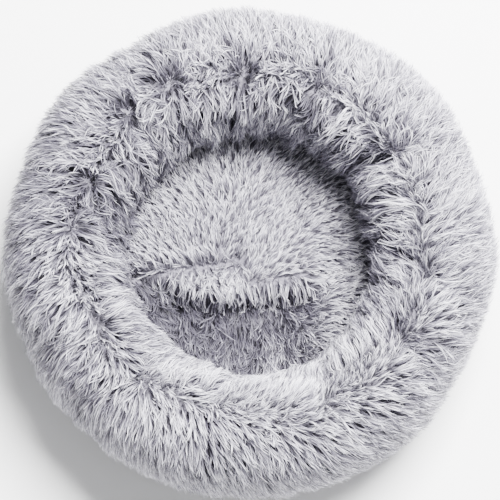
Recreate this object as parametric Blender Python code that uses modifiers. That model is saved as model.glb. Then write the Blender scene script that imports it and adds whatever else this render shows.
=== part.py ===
"""Round donut pet bed: a fur-covered, fibre-filled ring sewn round a padded seat on a woven base.

Units are metres and +Z is up. The origin is the centre of the underside. +Y is the back of the bed,
where a zip for the filling is let into the low boxing strip between the base and the ring's cover.
"""

import math

import bmesh
import bpy
from mathutils import Matrix

# ---- Driving dimensions -------------------------------------------------------------------------
BED_RADIUS = 0.243  # to the outside of the ring, pile pressed flat
BED_HEIGHT = 0.172  # floor to the top of the ring, pile pressed flat
RING_WIDTH = 0.121  # the ring's section, inside wall to outside wall
RING_SQUARENESS = 2.2  # superellipse exponent of the ring's section; 2 is a plain ellipse
RING_SETTLE = 0.004  # how far the section's underside is pressed flat by its weight
FUR_FABRIC = 0.006  # fur fabric's thickness: backing and flattened pile
CREST_SEAM_ANGLE = 105.0  # degrees round the section from its outermost point to the crest seam
SEAT_TOP = 0.066  # floor to the middle of the seat
SEAT_SHOULDER = 0.052  # floor to the seat's edge, where it meets the ring's inner wall
DOME_FLATNESS = 2.6  # power of the seat's fall from its middle to its edge
DOME_REACH = 0.93  # share of the seat's radius that the dome covers before the shoulder
DOME_POINTS = 6
SIDE_STEPS = 5

BASE_FABRIC = 0.0015  # woven base with its lining
LINING = 0.0008
TAPE = 0.0008
GUSSET_TOP = 0.0279
GUSSET_FABRIC = 0.0012
BINDING_WIDTH = 0.0030
BINDING_HEIGHT = 0.0034
BINDING_LIFT = 0.0006  # floor to the binding's underside
SEAT_TAPE_WIDTH = 0.012

CLEAR = 0.0004  # between pieces that touch
SEAT_CLEAR = 0.0012  # between the seat's side and the ring's inner wall

ZIP_MIDDLE = 90.0  # degrees from +X: the back
ZIP_STEPS_OF_RING = 8  # the zip's arc, in steps of the ring
ZIP_TAPE = 0.0006
COIL_DEPTH = 0.0016
COIL_HEIGHT = 0.0022
COIL_PARTING = 0.0016  # the halves stand this far apart, so that the slider's post can pass
COIL_MARGIN = 2.5  # degrees of tape past each end of the coils

SLIDER_LENGTH = 0.0095
SLIDER_HEIGHT = 0.0090
SLIDER_PLATE = 0.0010
SLIDER_CHANNEL = 0.0014  # from the tape's middle to a plate's inner face
SLIDER_POST = 0.0010
ARCH_ROOM = 0.0026  # from the outer plate to the underside of the pull's arch
ARCH_WIRE = 0.0006  # radius
ARCH_REACH = 0.0030
PULL_LENGTH = 0.0220
PULL_WIDTH = 0.0066
PULL_THICKNESS = 0.0012
PULL_BAR = 0.0012
PULL_SLOT_LENGTH = 0.0044
PULL_SLOT_WIDTH = 0.0034
PULL_TAPER = 0.8  # share of its width that the pull has at its bar
PULL_HOLE_RADIUS = 0.00095
PULL_HOLE_INSET = 0.0022  # from the pull's free end to the middle of its hole
STOP_LENGTH = 0.0022
STOP_DEPTH = 0.0026
METAL_ROUNDING = 0.0003  # on the edges of the slider and the stops

LABEL_WIDTH = 0.018
LABEL_DROP = 0.014
LABEL_THICKNESS = 0.0006
LABEL_ANGLE = 48.0  # degrees from +X

PANEL_SIDES = ("right", "back", "left", "front")  # the ring's panels, from +X round to -Y
RING_STEPS = 40
ZIP_STEPS = 24
SECTION_STEP = 15.0  # degrees of the section to a facet, the same grid on every nested piece

# ---- Sizes that follow from them ----------------------------------------------------------------
RING_CENTRE = BED_RADIUS - RING_WIDTH / 2
SECTION_HALF_HEIGHT = (BED_HEIGHT + RING_SETTLE) / 2
SECTION_CENTRE = BED_HEIGHT - SECTION_HALF_HEIGHT
STEP_ANGLE = 360 / RING_STEPS
FLOOR_OF_FILLING = BASE_FABRIC + CLEAR + max(LINING, TAPE) + CLEAR
COVER_FOOT = GUSSET_TOP + CLEAR
ZIP_ARC = ZIP_STEPS_OF_RING * STEP_ANGLE
ZIP_START = round((ZIP_MIDDLE - ZIP_ARC / 2) / STEP_ANGLE) * STEP_ANGLE
GUSSET_FOOT = BINDING_LIFT + BINDING_HEIGHT + CLEAR
ZIP_HEIGHT = (GUSSET_FOOT + GUSSET_TOP) / 2


def section_point(degrees, offset=0.0):
    """(radius, height) on the ring's section, moved out along its normal by offset."""
    half_width, half_height, power = RING_WIDTH / 2, SECTION_HALF_HEIGHT, RING_SQUARENESS
    cos, sin = math.cos(math.radians(degrees)), math.sin(math.radians(degrees))
    across = math.copysign(abs(cos) ** (2 / power), cos)
    up = math.copysign(abs(sin) ** (2 / power), sin)
    normal_across = math.copysign(abs(across) ** (power - 1), across) / half_width
    normal_up = math.copysign(abs(up) ** (power - 1), up) / half_height
    length = math.hypot(normal_across, normal_up)
    return (
        RING_CENTRE + half_width * across + offset * normal_across / length,
        SECTION_CENTRE + half_height * up + offset * normal_up / length,
    )


def section_angle_at(height, inner, offset=0.0):
    """The section angle where the lower half of the ring's wall passes this height, found by halving."""
    low, high = (180.0, 265.0) if inner else (0.0, -85.0)
    for _ in range(40):
        middle = (low + high) / 2
        if section_point(middle, offset)[1] > height:
            low = middle
        else:
            high = middle
    return low


def section_arc(start, end, offset=0.0):
    """Points on the ring's section from one angle down to another: both ends, and the grid's angles that
    lie well between them."""
    first, last = math.floor(start / SECTION_STEP), math.ceil(end / SECTION_STEP)
    grid = [step * SECTION_STEP for step in range(first, last - 1, -1)]
    margin = SECTION_STEP / 6
    inner = [angle for angle in grid if end + margin < angle < start - margin]
    return [section_point(angle, offset) for angle in (start, *inner, end)]


def offset_outline(points, distance):
    """An open outline moved by distance to its right-hand side, looking along it."""
    moved = []
    for i, (radius, height) in enumerate(points):
        before, after = points[max(i - 1, 0)], points[min(i + 1, len(points) - 1)]
        along = (after[0] - before[0], after[1] - before[1])
        length = math.hypot(*along)
        moved.append((radius + distance * along[1] / length, height - distance * along[0] / length))
    return moved


GUSSET_RADIUS = section_point(section_angle_at(GUSSET_TOP, inner=False))[0] - FUR_FABRIC / 2
ZIP_RADIUS = GUSSET_RADIUS - GUSSET_FABRIC / 2
BASE_RADIUS = GUSSET_RADIUS - GUSSET_FABRIC - CLEAR
FILLING_INSET = FUR_FABRIC + CLEAR + TAPE + CLEAR
SEAT_FILLING_INSET = FUR_FABRIC + 2 * CLEAR


# ---- Scene, materials and shared shapes ---------------------------------------------------------
def cleared_scene():
    """Empties the scene and returns the collections for the parts and for the cutters."""
    for obj in list(bpy.data.objects):
        bpy.data.objects.remove(obj, do_unlink=True)
    made = []
    for name in ("donut_pet_bed", "cutters"):
        collection = bpy.data.collections.new(name)
        bpy.context.scene.collection.children.link(collection)
        made.append(collection)
    return made


PARTS, CUTTERS = cleared_scene()


def material(name, colour, roughness, metallic=0.0):
    """A Principled material from its linear colour."""
    made = bpy.data.materials.new(name)
    made.use_nodes = True
    shader = made.node_tree.nodes["Principled BSDF"]
    shader.inputs["Base Color"].default_value = (*colour, 1.0)
    shader.inputs["Roughness"].default_value = roughness
    shader.inputs["Metallic"].default_value = metallic
    return made


FUR = material("silver_plush", (0.60, 0.58, 0.64), 0.85)
FIBRE = material("polyester_fibre", (0.86, 0.86, 0.84), 0.95)
NONWOVEN = material("white_nonwoven", (0.78, 0.78, 0.76), 0.9)
OXFORD = material("grey_oxford", (0.22, 0.21, 0.24), 0.7)
WEBBING = material("grey_webbing", (0.28, 0.27, 0.30), 0.75)
NYLON = material("grey_nylon", (0.30, 0.29, 0.33), 0.45)
ZINC = material("die_cast_zinc", (0.55, 0.55, 0.57), 0.3, 1.0)
SATIN = material("white_satin_label", (0.85, 0.85, 0.83), 0.5)


def new_object(name, mesh, finish, collection=PARTS):
    obj = bpy.data.objects.new(name, mesh)
    mesh.materials.clear()
    mesh.materials.append(finish)
    collection.objects.link(obj)
    return obj


def smooth(obj):
    obj.data.shade_smooth()
    obj.data.set_sharp_from_angle(angle=math.radians(40))


def turned(name, profile, finish, closed=True, steps=RING_STEPS, arc=360.0, start=0.0):
    """A profile of (radius, height) points turned about Z, through a full ring or an arc of it."""
    mesh = bpy.data.meshes.new(name)
    count = len(profile)
    edges = [(i, i + 1) for i in range(count - 1)] + ([(count - 1, 0)] if closed else [])
    mesh.from_pydata([(radius, 0.0, height) for radius, height in profile], edges, [])
    obj = new_object(name, mesh, finish)
    obj.rotation_euler.z = math.radians(start)
    screw = obj.modifiers.new("turn", "SCREW")
    screw.angle = math.radians(arc)
    screw.steps = screw.render_steps = steps
    screw.use_merge_vertices = arc == 360.0
    screw.merge_threshold = 0.00001
    return obj


def thickened(obj, thickness, side=-1.0):
    """Gives an open surface its thickness: side -1 puts it behind the surface, 0 on both sides."""
    solidify = obj.modifiers.new("thickness", "SOLIDIFY")
    solidify.thickness = thickness
    solidify.offset = side
    solidify.use_even_offset = True
    return obj


def capped(obj, finish):
    """Replaces a part-turned profile by its evaluated mesh, with both ends closed."""
    made = meshed(obj, finish)
    shape = bmesh.new()
    shape.from_mesh(made.data)
    ends = [edge for edge in shape.edges if edge.is_boundary]
    bmesh.ops.holes_fill(shape, edges=ends, sides=0)
    bmesh.ops.recalc_face_normals(shape, faces=shape.faces)
    shape.to_mesh(made.data)
    shape.free()
    return made


def meshed(obj, finish):
    """Replaces an object by a mesh of its evaluated shape, with a curve's caps welded on."""
    bpy.context.view_layer.update()
    graph = bpy.context.evaluated_depsgraph_get()
    mesh = bpy.data.meshes.new_from_object(obj.evaluated_get(graph))
    shape = bmesh.new()
    shape.from_mesh(mesh)
    bmesh.ops.remove_doubles(shape, verts=shape.verts, dist=0.00001)
    bmesh.ops.recalc_face_normals(shape, faces=shape.faces)
    shape.to_mesh(mesh)
    shape.free()
    name, matrix = obj.name, obj.matrix_world.copy()
    bpy.data.objects.remove(obj, do_unlink=True)
    made = new_object(name, mesh, finish)
    made.matrix_world = matrix
    return made


def block(name, size, centre, finish, rounding=0.0, collection=PARTS):
    """A box of this size about a centre in its own frame, with its edges rounded."""
    shape = bmesh.new()
    bmesh.ops.create_cube(shape, size=1.0, matrix=Matrix.Translation(centre) @ Matrix.Diagonal((*size, 1.0)))
    mesh = bpy.data.meshes.new(name)
    shape.to_mesh(mesh)
    shape.free()
    obj = new_object(name, mesh, finish, collection)
    if rounding:
        bevel = obj.modifiers.new("rounding", "BEVEL")
        bevel.width = rounding
        bevel.segments = 2
    return obj


def hidden_helper(obj):
    """Moves a shape that only cuts or joins others out of the parts."""
    for collection in list(obj.users_collection):
        collection.objects.unlink(obj)
    CUTTERS.objects.link(obj)
    obj.hide_render = True
    obj.display_type = "WIRE"
    return obj


def joined(obj, others):
    """Adds the other shapes to an object by Boolean union."""
    for other in others:
        union = obj.modifiers.new("join " + other.name, "BOOLEAN")
        union.operation = "UNION"
        union.object = hidden_helper(other)
    return obj


def axis_at(name, degrees, radius, height, parent=None):
    """An empty on a joint's axis, turned so that its X points outwards and its Y along the zip."""
    empty = bpy.data.objects.new(name, None)
    PARTS.objects.link(empty)
    empty.parent = parent
    empty.location = (radius, 0.0, height)
    empty.rotation_euler.z = math.radians(degrees)
    return empty


# ---- The ring -----------------------------------------------------------------------------------
def make_rim_covers():
    """The ring's fur fabric: an outer and an inner row of four panels each. The rows meet at the crest
    seam, and the ring stays open underneath."""
    half_seam = math.degrees(2 * CLEAR / RING_WIDTH)
    rows = {
        "outer": (CREST_SEAM_ANGLE - half_seam, section_angle_at(COVER_FOOT, inner=False)),
        "inner": (
            section_angle_at(FLOOR_OF_FILLING + CLEAR, inner=True),
            CREST_SEAM_ANGLE + half_seam,
        ),
    }
    side_gap = math.degrees(CLEAR / (BED_RADIUS - RING_WIDTH))
    panel_steps = RING_STEPS // len(PANEL_SIDES)
    for row, (start, end) in rows.items():
        profile = [*section_arc(start, end), *reversed(section_arc(start, end, -FUR_FABRIC))]
        for i, side in enumerate(PANEL_SIDES):
            first = (i - 0.5) * panel_steps * STEP_ANGLE
            panel = turned(
                f"rim_{row}_panel_{side}",
                profile,
                FUR,
                steps=panel_steps,
                arc=panel_steps * STEP_ANGLE - side_gap,
                start=first + side_gap / 2,
            )
            smooth(capped(panel, FUR))


def make_rim_filling():
    """The fibre ring: the section inset behind the covers, and flat where it lies on the base."""
    inset = -FILLING_INSET
    start = section_angle_at(FLOOR_OF_FILLING, inner=True, offset=inset)
    end = section_angle_at(FLOOR_OF_FILLING, inner=False, offset=inset)
    smooth(turned("rim_filling", section_arc(start, end, inset), FIBRE))


def make_crest_seam_tape():
    """A stay tape behind the crest seam, between the covers and the filling, one facet to each side."""
    middle = round(CREST_SEAM_ANGLE / SECTION_STEP) * SECTION_STEP
    behind = section_arc(middle + SECTION_STEP, middle - SECTION_STEP, -(FUR_FABRIC + CLEAR))
    thickened(turned("crest_seam_tape", behind, WEBBING, closed=False), TAPE)


# ---- The seat -----------------------------------------------------------------------------------
def seat_outline(inset):
    """The seat's half section from its middle to its foot, moved in by inset: a dome, a shoulder and a
    side that follows the ring's inner wall down to where the filling meets the lining."""
    side_start = section_angle_at(SEAT_SHOULDER, inner=True, offset=SEAT_CLEAR)
    side_end = section_angle_at(FLOOR_OF_FILLING, inner=True, offset=SEAT_CLEAR + SEAT_FILLING_INSET)
    edge_radius = section_point(side_start, SEAT_CLEAR)[0]
    dome = []
    for i in range(DOME_POINTS):
        share = DOME_REACH * i / (DOME_POINTS - 1)
        height = SEAT_TOP - (SEAT_TOP - SEAT_SHOULDER) * share**DOME_FLATNESS
        dome.append((edge_radius * share, height))
    side = [
        section_point(side_start + (side_end - side_start) * i / SIDE_STEPS, SEAT_CLEAR)
        for i in range(SIDE_STEPS + 1)
    ]
    moved = offset_outline([*dome, *side], inset)
    moved[0] = (0.0, moved[0][1])
    moved[-1] = section_point(side_end, SEAT_CLEAR + inset)
    return moved


def make_seat():
    """The seat's fur cover, its filling and the lining that closes it from below."""
    outline = seat_outline(0.0)
    inside = seat_outline(FUR_FABRIC)
    cover = turned("seat_cover", [*outline, *reversed(inside)], FUR, closed=False)
    filling_outline = seat_outline(SEAT_FILLING_INSET)
    filling_outline.append((0.0, filling_outline[-1][1]))
    filling = turned("seat_filling", filling_outline, FIBRE, closed=False)
    for piece in (cover, filling):
        smooth(piece)
    tape_inside = outline[-1][0] - SEAT_TAPE_WIDTH / 2
    low = BASE_FABRIC + CLEAR
    disc("seat_lining", tape_inside - CLEAR, LINING, low, NONWOVEN)
    tape_outline = [
        (tape_inside, low + TAPE),
        (tape_inside + SEAT_TAPE_WIDTH, low + TAPE),
        (tape_inside + SEAT_TAPE_WIDTH, low),
        (tape_inside, low),
    ]
    turned("seat_seam_tape", tape_outline, WEBBING)


def disc(name, radius, thickness, low, finish):
    """A flat round panel with its underside at this height."""
    bpy.ops.mesh.primitive_cylinder_add(
        vertices=RING_STEPS, radius=radius, depth=thickness, location=(0, 0, low + thickness / 2)
    )
    obj = bpy.context.object
    obj.name = obj.data.name = name
    obj.data.materials.append(finish)
    for collection in list(obj.users_collection):
        collection.objects.unlink(obj)
    PARTS.objects.link(obj)
    return obj


# ---- The base -----------------------------------------------------------------------------------
def make_base():
    """The base panel, the binding round its seam and the boxing strip with a gap for the zip."""
    disc("base_panel", BASE_RADIUS, BASE_FABRIC, 0.0, OXFORD)
    inside = BASE_RADIUS + CLEAR
    outside = inside + BINDING_WIDTH
    chamfer = BINDING_HEIGHT / 4
    low, high = BINDING_LIFT, BINDING_LIFT + BINDING_HEIGHT
    binding = [
        (inside, high),
        (outside - chamfer, high),
        (outside, high - chamfer),
        (outside, low + chamfer),
        (outside - chamfer, low),
        (inside, low),
    ]
    turned("base_binding", binding, WEBBING)
    end_gap = math.degrees(CLEAR / GUSSET_RADIUS)
    strip = turned(
        "base_gusset",
        [(GUSSET_RADIUS, GUSSET_TOP), (GUSSET_RADIUS, GUSSET_FOOT)],
        OXFORD,
        closed=False,
        steps=RING_STEPS - ZIP_STEPS_OF_RING,
        arc=360.0 - ZIP_ARC - 2 * end_gap,
        start=ZIP_START + ZIP_ARC + end_gap,
    )
    thickened(strip, GUSSET_FABRIC)


def make_care_label():
    """A blank folded label that hangs from the base seam beside the zip."""
    label = block(
        "care_label",
        (LABEL_THICKNESS, LABEL_WIDTH, LABEL_DROP),
        (0.0, 0.0, LABEL_DROP / 2),
        SATIN,
        rounding=LABEL_THICKNESS / 4,
    )
    stand_off = LABEL_WIDTH**2 / (8 * GUSSET_RADIUS)
    radius = GUSSET_RADIUS + stand_off + CLEAR + LABEL_THICKNESS / 2
    angle = math.radians(LABEL_ANGLE)
    label.location = (radius * math.cos(angle), radius * math.sin(angle), GUSSET_FOOT)
    label.rotation_euler.z = angle


# ---- The zip ------------------------------------------------------------------------------------
def make_zip_chain():
    """Two tapes and two coils along the back of the boxing strip, above and below the zip's line."""
    coil_inner_edge = COIL_PARTING / 2
    coil_outer_edge = coil_inner_edge + COIL_HEIGHT
    for name, side in (("upper", 1), ("lower", -1)):
        tape_far = GUSSET_TOP if side > 0 else GUSSET_FOOT
        heights = sorted((tape_far, ZIP_HEIGHT + side * (coil_outer_edge + CLEAR)), reverse=True)
        tape = turned(
            f"zip_tape_{name}",
            [(ZIP_RADIUS, height) for height in heights],
            WEBBING,
            closed=False,
            steps=ZIP_STEPS,
            arc=ZIP_ARC,
            start=ZIP_START,
        )
        thickened(tape, ZIP_TAPE, side=0.0)
        heights = sorted(
            (ZIP_HEIGHT + side * coil_inner_edge, ZIP_HEIGHT + side * coil_outer_edge), reverse=True
        )
        coil = turned(
            f"zip_coil_{name}",
            [(ZIP_RADIUS, height) for height in heights],
            NYLON,
            closed=False,
            steps=ZIP_STEPS,
            arc=ZIP_ARC - 2 * COIL_MARGIN,
            start=ZIP_START + COIL_MARGIN,
        )
        thickened(coil, COIL_DEPTH, side=0.0)


def make_zip_stops():
    """Two small clamps past the closed end of the coils and one wide clamp past the open end."""
    gap = math.degrees((CLEAR + STOP_LENGTH / 2) / ZIP_RADIUS)
    coil_middle = COIL_PARTING / 2 + COIL_HEIGHT / 2
    reach = COIL_PARTING / 2 + COIL_HEIGHT
    closed_end = ZIP_START + COIL_MARGIN - gap
    open_end = ZIP_START + ZIP_ARC - COIL_MARGIN + gap
    # Each stop is clamped beside the tape's edge, so it stays short of the tape.
    places = (
        ("zip_top_stop_upper", closed_end, coil_middle, COIL_HEIGHT),
        ("zip_top_stop_lower", closed_end, -coil_middle, COIL_HEIGHT),
        ("zip_bottom_stop", open_end, 0.0, 2 * reach),
    )
    for name, degrees, rise, height in places:
        stop = block(name, (STOP_DEPTH, STOP_LENGTH, height), (0, 0, 0), ZINC, rounding=METAL_ROUNDING)
        angle = math.radians(degrees)
        stop.location = (
            ZIP_RADIUS * math.cos(angle), ZIP_RADIUS * math.sin(angle), ZIP_HEIGHT + rise
        )
        stop.rotation_euler.z = angle


def slider_rest_angle():
    """Degrees from +X of the slider's middle when it stands against the top stops."""
    half_length = math.degrees(SLIDER_LENGTH / 2 / ZIP_RADIUS)
    return ZIP_START + COIL_MARGIN + half_length


def arch_wire(outer_face):
    """The bent wire over the outer plate that holds the pull's bar."""
    curve = bpy.data.curves.new("slider_arch", "CURVE")
    curve.dimensions = "3D"
    curve.bevel_depth = ARCH_WIRE
    curve.bevel_resolution = 2
    curve.use_fill_caps = True
    path = curve.splines.new("POLY")
    height = ARCH_ROOM + ARCH_WIRE
    count = 13
    path.points.add(count - 1)
    for i, point in enumerate(path.points):
        angle = math.pi * i / (count - 1)
        rise = -ARCH_WIRE / 2 + (height + ARCH_WIRE / 2) * math.sin(angle) ** 0.5
        point.co = (outer_face + rise, -ARCH_REACH * math.cos(angle), 0.0, 1.0)
    wire = bpy.data.objects.new("slider_arch", curve)
    PARTS.objects.link(wire)
    return meshed(wire, ZINC)


def make_zip_slider():
    """The slider: plates behind and in front of the coils, a post between them and an arch on top."""
    axis = axis_at("zip_slider_axis", slider_rest_angle(), 0.0, 0.0)
    outer_face = SLIDER_CHANNEL + SLIDER_PLATE
    plate_size = (SLIDER_PLATE, SLIDER_LENGTH, SLIDER_HEIGHT)
    plate_middle = SLIDER_CHANNEL + SLIDER_PLATE / 2
    slider = block("zip_slider", plate_size, (plate_middle, 0, 0), ZINC, rounding=METAL_ROUNDING)
    back = block("slider_back_plate", plate_size, (-plate_middle, 0, 0), ZINC, rounding=METAL_ROUNDING)
    post = block(
        "slider_post",
        (2 * SLIDER_CHANNEL + SLIDER_PLATE, SLIDER_LENGTH / 3, SLIDER_POST),
        (0, SLIDER_LENGTH / 6, 0),
        ZINC,
    )
    joined(slider, (back, post, arch_wire(outer_face)))
    for helper in CUTTERS.objects:
        if helper.parent is None:
            helper.parent = axis
            helper.location = (ZIP_RADIUS, 0.0, ZIP_HEIGHT)
    slider.parent = axis
    slider.location = (ZIP_RADIUS, 0.0, ZIP_HEIGHT)
    return axis, outer_face


def make_zip_pull(slider_axis, outer_face):
    """The flat pull tab: a bar under the slider's arch, a slot behind it, and a rounded end."""
    bar_rise = outer_face + ARCH_ROOM / 2
    axis = axis_at("zip_pull_axis", 0.0, ZIP_RADIUS + bar_rise, ZIP_HEIGHT, slider_axis)
    curve = bpy.data.curves.new("zip_pull", "CURVE")
    curve.dimensions = "2D"
    curve.fill_mode = "BOTH"
    curve.extrude = PULL_THICKNESS / 2
    half, start, end = PULL_WIDTH / 2, -PULL_BAR / 2, PULL_LENGTH
    outline = [(start, -half * PULL_TAPER), (end - half, -half)]
    for i in range(1, 8):
        angle = math.radians(-90 + 180 * i / 8)
        outline.append((end - half + half * math.cos(angle), half * math.sin(angle)))
    outline += [(end - half, half), (start, half * PULL_TAPER)]
    slot_start, slot_end = PULL_BAR / 2, PULL_BAR / 2 + PULL_SLOT_LENGTH
    slot_half = PULL_SLOT_WIDTH / 2
    slot = [(slot_start, -slot_half), (slot_end, -slot_half), (slot_end, slot_half), (slot_start, slot_half)]
    hole = []
    for i in range(12):
        angle = math.radians(30 * i)
        hole.append(
            (
                end - PULL_HOLE_INSET + PULL_HOLE_RADIUS * math.cos(angle),
                PULL_HOLE_RADIUS * math.sin(angle),
            )
        )
    for points in (outline, slot, hole):
        spline = curve.splines.new("POLY")
        spline.points.add(len(points) - 1)
        spline.use_cyclic_u = True
        for point, (along, across) in zip(spline.points, points):
            point.co = (along, across, 0.0, 1.0)
    flat = bpy.data.objects.new("zip_pull", curve)
    PARTS.objects.link(flat)
    pull = meshed(flat, ZINC)
    pull.parent = axis
    # The outline's length lies along the zip, its width upright and its thickness outwards.
    pull.matrix_local = Matrix(((0, 0, 1, 0), (1, 0, 0, 0), (0, 1, 0, 0), (0, 0, 0, 1)))
    return pull


def main():
    make_rim_covers()
    make_rim_filling()
    make_crest_seam_tape()
    make_seat()
    make_base()
    make_care_label()
    make_zip_chain()
    make_zip_stops()
    slider_axis, outer_face = make_zip_slider()
    make_zip_pull(slider_axis, outer_face)


main()
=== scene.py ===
"""Looks for a round donut pet bed: long-pile plush over padded forms, a woven base, a zip and a
label.

The bed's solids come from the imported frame. Each operator below makes one group of pieces on them.
"""

import math

import bmesh
import bpy
import numpy as np
from bpy.props import FloatProperty, FloatVectorProperty, IntProperty, PointerProperty
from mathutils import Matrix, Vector
from mathutils.bvhtree import BVHTree


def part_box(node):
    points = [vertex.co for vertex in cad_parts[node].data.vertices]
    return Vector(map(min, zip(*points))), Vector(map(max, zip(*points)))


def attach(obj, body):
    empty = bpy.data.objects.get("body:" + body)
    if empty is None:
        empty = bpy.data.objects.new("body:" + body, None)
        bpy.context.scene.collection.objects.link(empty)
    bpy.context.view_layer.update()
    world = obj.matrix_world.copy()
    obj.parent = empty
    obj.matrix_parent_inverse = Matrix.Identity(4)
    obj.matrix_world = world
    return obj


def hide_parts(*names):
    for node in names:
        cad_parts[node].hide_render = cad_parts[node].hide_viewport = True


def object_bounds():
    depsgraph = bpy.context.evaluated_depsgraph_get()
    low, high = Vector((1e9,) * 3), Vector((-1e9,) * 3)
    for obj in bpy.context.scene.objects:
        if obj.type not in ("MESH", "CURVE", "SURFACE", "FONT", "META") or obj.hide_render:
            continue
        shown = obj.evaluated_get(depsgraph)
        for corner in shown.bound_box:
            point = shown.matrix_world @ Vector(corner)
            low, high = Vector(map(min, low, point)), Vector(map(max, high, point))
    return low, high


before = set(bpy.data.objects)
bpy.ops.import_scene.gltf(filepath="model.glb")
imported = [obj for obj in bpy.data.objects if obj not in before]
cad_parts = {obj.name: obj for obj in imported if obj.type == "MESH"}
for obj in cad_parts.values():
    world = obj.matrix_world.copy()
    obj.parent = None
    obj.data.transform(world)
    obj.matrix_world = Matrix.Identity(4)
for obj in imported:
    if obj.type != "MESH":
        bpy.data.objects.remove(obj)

bl_info = {
    "name": "Plush Donut Pet Bed",
    "version": (1, 0, 0),
    "blender": (4, 5, 0),
    "location": "View3D > Sidebar > Pet Bed",
    "description": "Builds the plush, base, zip and label of a round pet bed on its packed solids",
    "category": "Object",
}

CAD_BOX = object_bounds()
SIDES = ("right", "back", "left", "front")

# ---- Sizes read from the frame ------------------------------------------------------------------
BED_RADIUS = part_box("rim_outer_panel_back")[1].y
BED_HEIGHT = CAD_BOX[1].z
RING_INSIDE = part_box("rim_inner_panel_right")[0].x / math.cos(math.radians(45))
RING_CENTRE = (BED_RADIUS + RING_INSIDE) / 2
HALF_WIDTH = (BED_RADIUS - RING_INSIDE) / 2
RING_SETTLE = 0.004  # the ring's section is drawn this far into the floor, where it lies flat
HALF_HEIGHT = (BED_HEIGHT + RING_SETTLE) / 2
SECTION_CENTRE = BED_HEIGHT - HALF_HEIGHT
SQUARENESS = 2.2  # 2 is an ellipse, more is squarer
COVER_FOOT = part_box("rim_outer_panel_back")[0].z
SEAT_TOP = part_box("seat_cover")[1].z
SEAT_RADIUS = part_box("seat_cover")[1].y
GUSSET_LOW, GUSSET_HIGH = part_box("base_gusset")
BASE_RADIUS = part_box("base_panel")[1].y
DOT_LIFT = 0.0005  # the base cloth stands this far off the floor on its dots
COIL_LOW, COIL_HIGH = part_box("zip_coil_upper")
ZIP_HEIGHT = (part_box("zip_coil_lower")[1].z + COIL_LOW.z) / 2
COIL_DEPTH = 0.0016
COIL_WIRE = 0.0003  # radius
ZIP_RADIUS = COIL_HIGH.y - COIL_DEPTH / 2
ZIP_START = math.acos(COIL_HIGH.x / COIL_HIGH.y)
ZIP_TAPE_START = math.acos(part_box("zip_tape_lower")[1].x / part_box("zip_tape_lower")[1].y)

# ---- The plush ----------------------------------------------------------------------------------
ROOT_DEPTH = 0.004  # the knitted backing lies this far inside the CAD panels' outside
RING_AROUND, RING_ACROSS = 200, 76  # points of the ring's skin, round the bed and round its section
SECTION_FROM, SECTION_TO = 238.0, -52.0  # section angles where the skin leaves and meets the base
SEWN_COLUMNS = 6  # columns of the skin held at each foot while it is filled
OUTSIDE_FOOT, INSIDE_FOOT = -36.0, 222.0  # section angles where the pile ends
STRAND_RINGS = 6
CREST_MIDDLE = 102.0  # section angle about which the pile parts, and is sewn thickest
CREST_SEAM = 105.0  # section angle where the two rows of panels meet
SEED = 20
LEAST_PILE = 0.0012  # lowest height of a strand
CROWN = BED_HEIGHT + 0.004  # the pile is pressed flatter above this height
DEEP_CREASE = 0.012
LOCK_SPREAD = 0.62  # a lock's radius as a share of the lock spacing

# Dents that radiate over the ring where its panels are gathered:
# clock angle, half width and depth, in degrees and metres, and the section angle where it is
# deepest.
CREASES = (
    (133.0, 5.0, 0.010, 118.0),
    (173.0, 6.0, 0.012, 128.0),
    (69.0, 5.0, 0.009, 122.0),
    (32.0, 5.0, 0.012, 125.0),
    (349.0, 5.0, 0.009, 105.0),
    (324.0, 6.0, 0.008, 80.0),
    (210.0, 5.0, 0.008, 60.0),
    (229.0, 4.0, 0.006, 75.0),
    (262.0, 6.0, 0.006, 125.0),
    (296.0, 5.0, 0.006, 118.0),
)

# Points where the pile parts and lies away on every side, in rosettes at the back:
# clock angle and section angle.
WHORLS = (
    (134.0, 98.0), (118.0, 100.0), (92.0, 112.0), (66.0, 112.0), (162.0, 104.0), (178.0, 98.0),
    (347.0, 100.0), (324.0, 96.0), (210.0, 100.0), (236.0, 98.0), (30.0, 108.0), (8.0, 104.0),
)

# ---- The seat -----------------------------------------------------------------------------------
FOLD_LIP = -0.041  # furthest that the fold's lip comes towards the front
FOLD_DROP = 0.025
VISIBLE_SEAT = 0.124  # radius
SEAT_FAN = -0.030  # the pile fans out to both sides of this X
SEAT_GRID = 120  # points along each side of the grid of the seat's heights
SEAT_CLOTH = 64  # points along each side of the seat's skin
SEAT_FILL = {"pressure": 1.2, "slack": 0.01, "cap": 0.003}
LEAST_SEAT = 0.006  # lowest height of the seat's skin


# ---- Colour and node helpers --------------------------------------------------------------------
def linear(hex_colour):
    """A linear colour from an sRGB hex value."""
    values = [int(hex_colour[i : i + 2], 16) / 255 for i in (1, 3, 5)]
    return tuple(v / 12.92 if v <= 0.04045 else ((v + 0.055) / 1.055) ** 2.4 for v in values)


def rgba(hex_colour):
    return (*linear(hex_colour), 1.0)


def add_node(tree, kind, settings=None, inputs=None):
    """Adds a node with its settings, and links or sets its inputs."""
    made = tree.nodes.new(kind)
    for key, value in (settings or {}).items():
        setattr(made, key, value)
    for key, value in (inputs or {}).items():
        if isinstance(value, bpy.types.NodeSocket):
            tree.links.new(value, made.inputs[key])
        else:
            made.inputs[key].default_value = value
    return made


def new_material(name):
    """An empty Principled material, its tree and its shader."""
    made = bpy.data.materials.new(name)
    made.use_nodes = True
    return made, made.node_tree, made.node_tree.nodes["Principled BSDF"]


def set_ramp(node, stops):
    """Gives a colour ramp these (position, sRGB hex or linear colour) stops."""
    elements = node.color_ramp.elements
    while len(elements) > 1:
        elements.remove(elements[-1])
    for i, (position, colour) in enumerate(stops):
        element = elements.new(position) if i else elements[0]
        element.position = position
        element.color = rgba(colour) if isinstance(colour, str) else colour


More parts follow.
